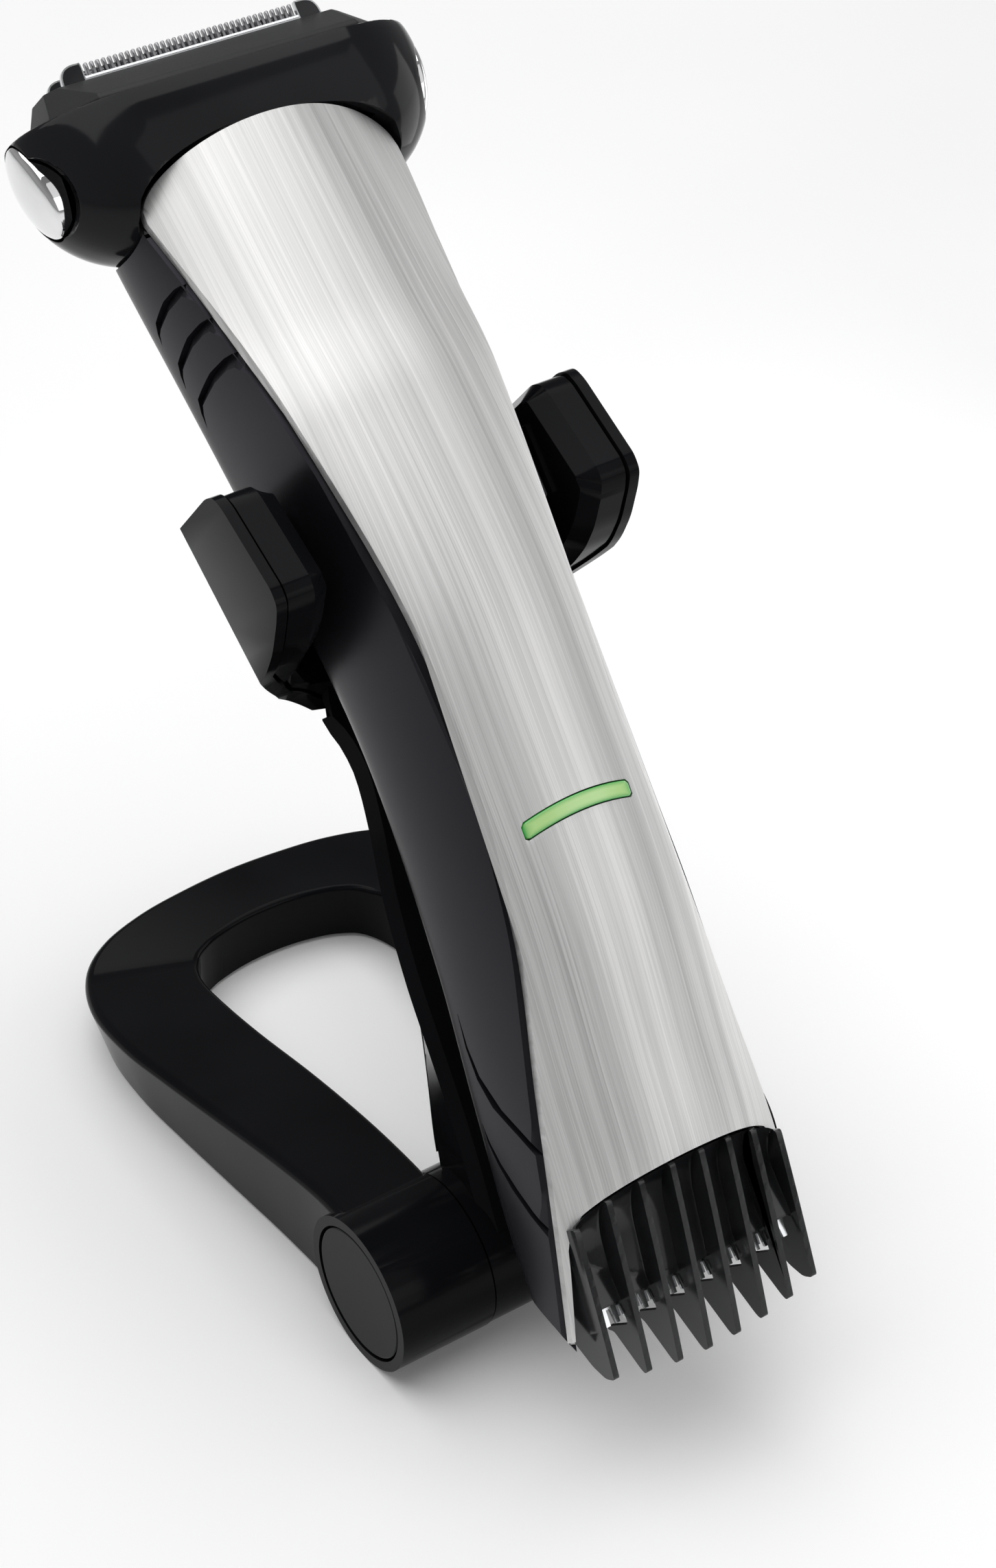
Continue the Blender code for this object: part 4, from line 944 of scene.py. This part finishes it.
# The arm: (v, half width at its front, front w, back w); it flares into the cradle
ARM = [
    (24.0, 16.4, -23.9, -38.5), (34.0, 15.0, -24.0, -35.6), (42.0, 14.0, -24.3, -33.7),
    (52.0, 13.2, -24.4, -32.6), (62.0, 12.6, -24.0, -32.3), (74.0, 11.6, -22.6, -31.5),
    (84.0, 10.8, -19.6, -28.8), (92.0, 11.3, -15.8, -24.6), (97.0, 13.0, -13.0, -20.8),
    (101.0, 14.6, -11.8, -16.7), (104.0, 13.6, -11.0, -14.4), (107.0, 12.5, -10.9, -13.2),
]
ARM_TAPER = 0.49                                # how much narrower the arm gets per mm of depth


def cradle_u(outer_inset, inner_inset, low=96.0, high=136.0):
    """The cradle's U: from its skin, inset, to the seat or to the skin at a second inset."""
    def skin_line(inset, v):
        return [(x - inset, w + lean * U_LEAN * (U_CORNER_V - v) + 0.7 * inset) for x, w, lean in U_SKIN]

    rings = []
    for v in steps(low, high, 10):
        outer = skin_line(outer_inset, v)
        inner = U_SEAT if inner_inset is None else skin_line(inner_inset, v)
        ring = outer + [(-x, w) for x, w in reversed(outer)]
        ring += [(-x, w) for x, w in inner] + list(reversed(inner))
        rings.append([(x, v, w) for x, w in ring])
    return loft(rings)


def jaw_profile(grow):
    """Side outline of the jaws as (v, w), with its edges moved out by grow."""
    g = grow
    return [
        (131.0 + g, -0.4), (132.4 + g, 11.6), (132.0 + g, 13.6 + g), (130.4, 15.0 + g), (118.0, 19.7 + g),
        (116.1 - g, 19.5 + g), (114.3 - g, 17.8), (111.0 - g, 12.8), (109.0 - g, 8.2), (107.9 - g, 3.6),
        (107.0 - g, -2.2), (106.3 - g, -7.3), (105.4 - g, -9.9), (104.0 - g, -12.4), (102.0, -15.0),
        (SPLIT_V, -16.4), (SPLIT_V, -20.0), (127.0 + g, -20.0),
    ]


def jaw_block(grow, chamfer):
    """The jaws' side outline through their whole width, drawn in towards the seat by the chamfer."""
    corner, face_x, drawn_x, end_x = 1.6, 22.8, 20.0, 40.0
    outline = rounded(jaw_profile(grow), corner)
    small = rounded(jaw_profile(grow - chamfer), corner)
    rings = []
    for x, inner in ((-end_x, 0), (-face_x, 0), (-drawn_x, 1), (drawn_x, 1), (face_x, 0), (end_x, 0)):
        ring = []
        for (v, w), (v_in, w_in) in zip(outline, small):
            share = inner * smooth_step((w + 7.0) / 4.0)
            ring.append((x, lerp(v, v_in, share), lerp(w, w_in, share)))
        rings.append(ring)
    return loft(rings)


def arm_solid(levels, cover):
    """Chamfered sections of the arm's shell, or of the cover that closes its back."""
    cover_t, parting = 0.9, 1.1                 # the cover's thickness, and how far the shell stops short
    rings = []
    for v in levels:
        half, front, back = [curve_value(ARM, column, v) for column in (1, 2, 3)]
        near, far = (back + cover_t, back) if cover else (front, back + parting)
        taper = ARM_TAPER * smooth_step((v - 38.0) / 26.0)
        near_half, far_half = [half - taper * (front - w) for w in (near, far)]
        far_cut, near_cut = (0.6, 0.1) if cover else (0.15, min(1.6, 0.3 * (near - far)))
        right = [(far_half - far_cut, v, far), (far_half, v, far + far_cut), (near_half, v, near - near_cut),
                 (near_half - near_cut, v, near)]
        rings.append(right + [(-x, v, w) for x, v, w in reversed(right)])
    return loft(rings)


def make_arm():
    center = (HINGE_V, HINGE_W)
    barrel = KNUCKLE_IN - GAP
    cuts = [("INTERSECT", jaw_block(0.0, 1.9)), ("UNION", arm_solid(steps(24.0, 107.0, 40), False)),
            ("DIFFERENCE", cradle_u(-6.0, 1.9, SPLIT_V - GAP, 110.0)),
            ("UNION", rod(BARREL_R, "x", -barrel, barrel, center, 96)),
            ("DIFFERENCE", rod(PIN_BORE_R, "x", -40.0, 40.0, center, 48))]
    piece("arm_shell", cradle_u(2.0, None), GROOMER, "stand_arm", "gloss",
          ["stand_arm_shell"], cuts, 0.22, 2, 28.0)
    cuts = [("INTERSECT", jaw_block(0.35, 0.0)), ("UNION", arm_solid(steps(37.0, 102.6, 34), True))]
    piece("arm_rear_cover", cradle_u(0.0, 1.6), GROOMER, "stand_arm", "gloss",
          ["stand_arm_rear_cover"], cuts, 0.22, 2, 28.0)


# ---------------------------------------------------------------- finishes of the CAD nodes

NODE_LOOKS = {
    "stand_base_loop": "gloss", "stand_floor_plate": "satin", "stand_ballast_bar": "steel",
    "stand_charging_inlet": "satin", "stand_inlet_contact_pin": "steel", "stand_hinge_pin": "steel",
    "stand_hinge_cap_left": "gloss", "stand_hinge_cap_right": "gloss", "stand_arm_shell": "gloss",
    "stand_arm_rear_cover": "gloss", "stand_contact_left": "contact", "stand_contact_right": "contact",
    "stand_cradle_pad": "rubber", "battery_cell": "battery", "circuit_board": "board",
    "inner_chassis": "satin", "shaver_motor": "steel", "trimmer_motor": "steel",
    "charging_pad_left": "contact", "charging_pad_right": "contact", "trimmer_base": "satin",
    "trimmer_fixed_blade": "blade", "power_switch": "satin", "shaver_drive": "steel",
    "trimmer_drive": "steel", "trimmer_moving_blade": "blade", "body_comb": "comb",
    "head_mounting_ring": "satin", "foil_frame": "frame", "shaving_foil": "blade",
    "front_guard_comb": "blade", "rear_guard_comb": "blade", "cutter_carrier": "satin",
    "inner_cutter": "blade", "front_trimmer_blade": "blade", "rear_trimmer_blade": "blade",
}


def finish_nodes():
    """A look for every CAD node; feet are rubber, and screws and pins are steel."""
    for name, node in frame["nodes"].items():
        look = NODE_LOOKS.get(name)
        if look is None:
            look = "rubber" if "foot" in name else "steel"
        node.data.materials.clear()
        node.data.materials.append(LOOKS[look])


# ---------------------------------------------------------------- stage

def area_light(name, location, target, size, power, size_y=None):
    light = bpy.data.lights.new(name, "AREA")
    light.shape = "RECTANGLE"
    light.size = size
    light.size_y = size_y or size
    light.energy = power
    obj = bpy.data.objects.new(name, light)
    bpy.context.scene.collection.objects.link(obj)
    obj.visible_camera = False
    obj.location = location
    obj.rotation_mode = "QUATERNION"
    obj.rotation_quaternion = (Vector(target) - Vector(location)).to_track_quat("-Z", "Y")
    return obj


def make_stage():
    g = Graph("pale_floor")
    tone = g.noise(6.0, 2.0)
    g.set(Base_Color=g.mix(g.spread(tone, 0.0, 1.0), (0.86, 0.86, 0.86), (0.9, 0.9, 0.9)), Roughness=0.75,
          Emission_Color=(1.0, 1.0, 1.0, 1.0), Emission_Strength=0.04)
    bm = bmesh.new()
    bmesh.ops.create_grid(bm, x_segments=8, y_segments=8, size=4.0)
    mesh = bpy.data.meshes.new("floor")
    bm.to_mesh(mesh)
    bm.free()
    mesh.materials.append(g.material)
    floor = bpy.data.objects.new("floor", mesh)
    bpy.context.scene.collection.objects.link(floor)

    world = bpy.data.worlds.new("studio")
    bpy.context.scene.world = world
    world.use_nodes = True
    nodes, links = world.node_tree.nodes, world.node_tree.links
    height = nodes.new("ShaderNodeSeparateXYZ")
    links.new(nodes.new("ShaderNodeTexCoord").outputs["Generated"], height.inputs[0])
    ramp = nodes.new("ShaderNodeMapRange")
    ramp.interpolation_type = "SMOOTHSTEP"
    for key, value in (("From Min", 0.0), ("From Max", 0.9), ("To Min", 0.34), ("To Max", 0.2)):
        ramp.inputs[key].default_value = value
    links.new(height.outputs[2], ramp.inputs["Value"])
    nodes["Background"].inputs["Color"].default_value = (1.0, 1.0, 1.0, 1.0)
    links.new(ramp.outputs["Result"], nodes["Background"].inputs["Strength"])
    middle = Vector((0.0, 0.0, 0.08))
    area_light("top", (-0.06, 0.2, 1.08), middle, 1.5, 15.0)
    area_light("front", (0.56, -0.78, 0.75), middle, 0.8, 1.2)
    area_light("front_low", (0.46, -0.9, 0.36), (0.0, -0.05, 0.05), 0.7, 1.1, size_y=0.5)
    area_light("right_card", (0.23, 0.0, 0.11), (0.0, 0.0, 0.12), 0.13, 0.12, size_y=0.21)


def make_camera():
    """The camera, where the photograph was taken from."""
    azimuth, elevation, roll = math.radians(-34.2233), math.radians(38.7072), math.radians(0.2693)
    location = (-0.20099, HINGE.y - 0.28133, 0.36783)
    back = Vector((math.sin(azimuth) * math.cos(elevation), -math.cos(azimuth) * math.cos(elevation),
                   math.sin(elevation)))
    right = Vector((math.cos(azimuth), math.sin(azimuth), 0.0))
    up = back.cross(right)
    turned = right * math.cos(roll) + up * math.sin(roll)
    upright = up * math.cos(roll) - right * math.sin(roll)
    camera = bpy.data.cameras.new("camera")
    camera.sensor_width = 36.0
    camera.lens = 76.477
    camera.clip_start, camera.clip_end = 0.01, 20.0
    obj = bpy.data.objects.new("camera", camera)
    bpy.context.scene.collection.objects.link(obj)
    obj.matrix_world = Matrix.Translation(location) @ Matrix((turned, upright, back)).transposed().to_4x4()
    bpy.context.scene.camera = obj


finish_nodes()
make_handle()
make_head()
make_float()
make_comb()
make_base()
make_arm()
make_stage()
make_camera()
bpy.context.scene.view_settings.view_transform = "Standard"
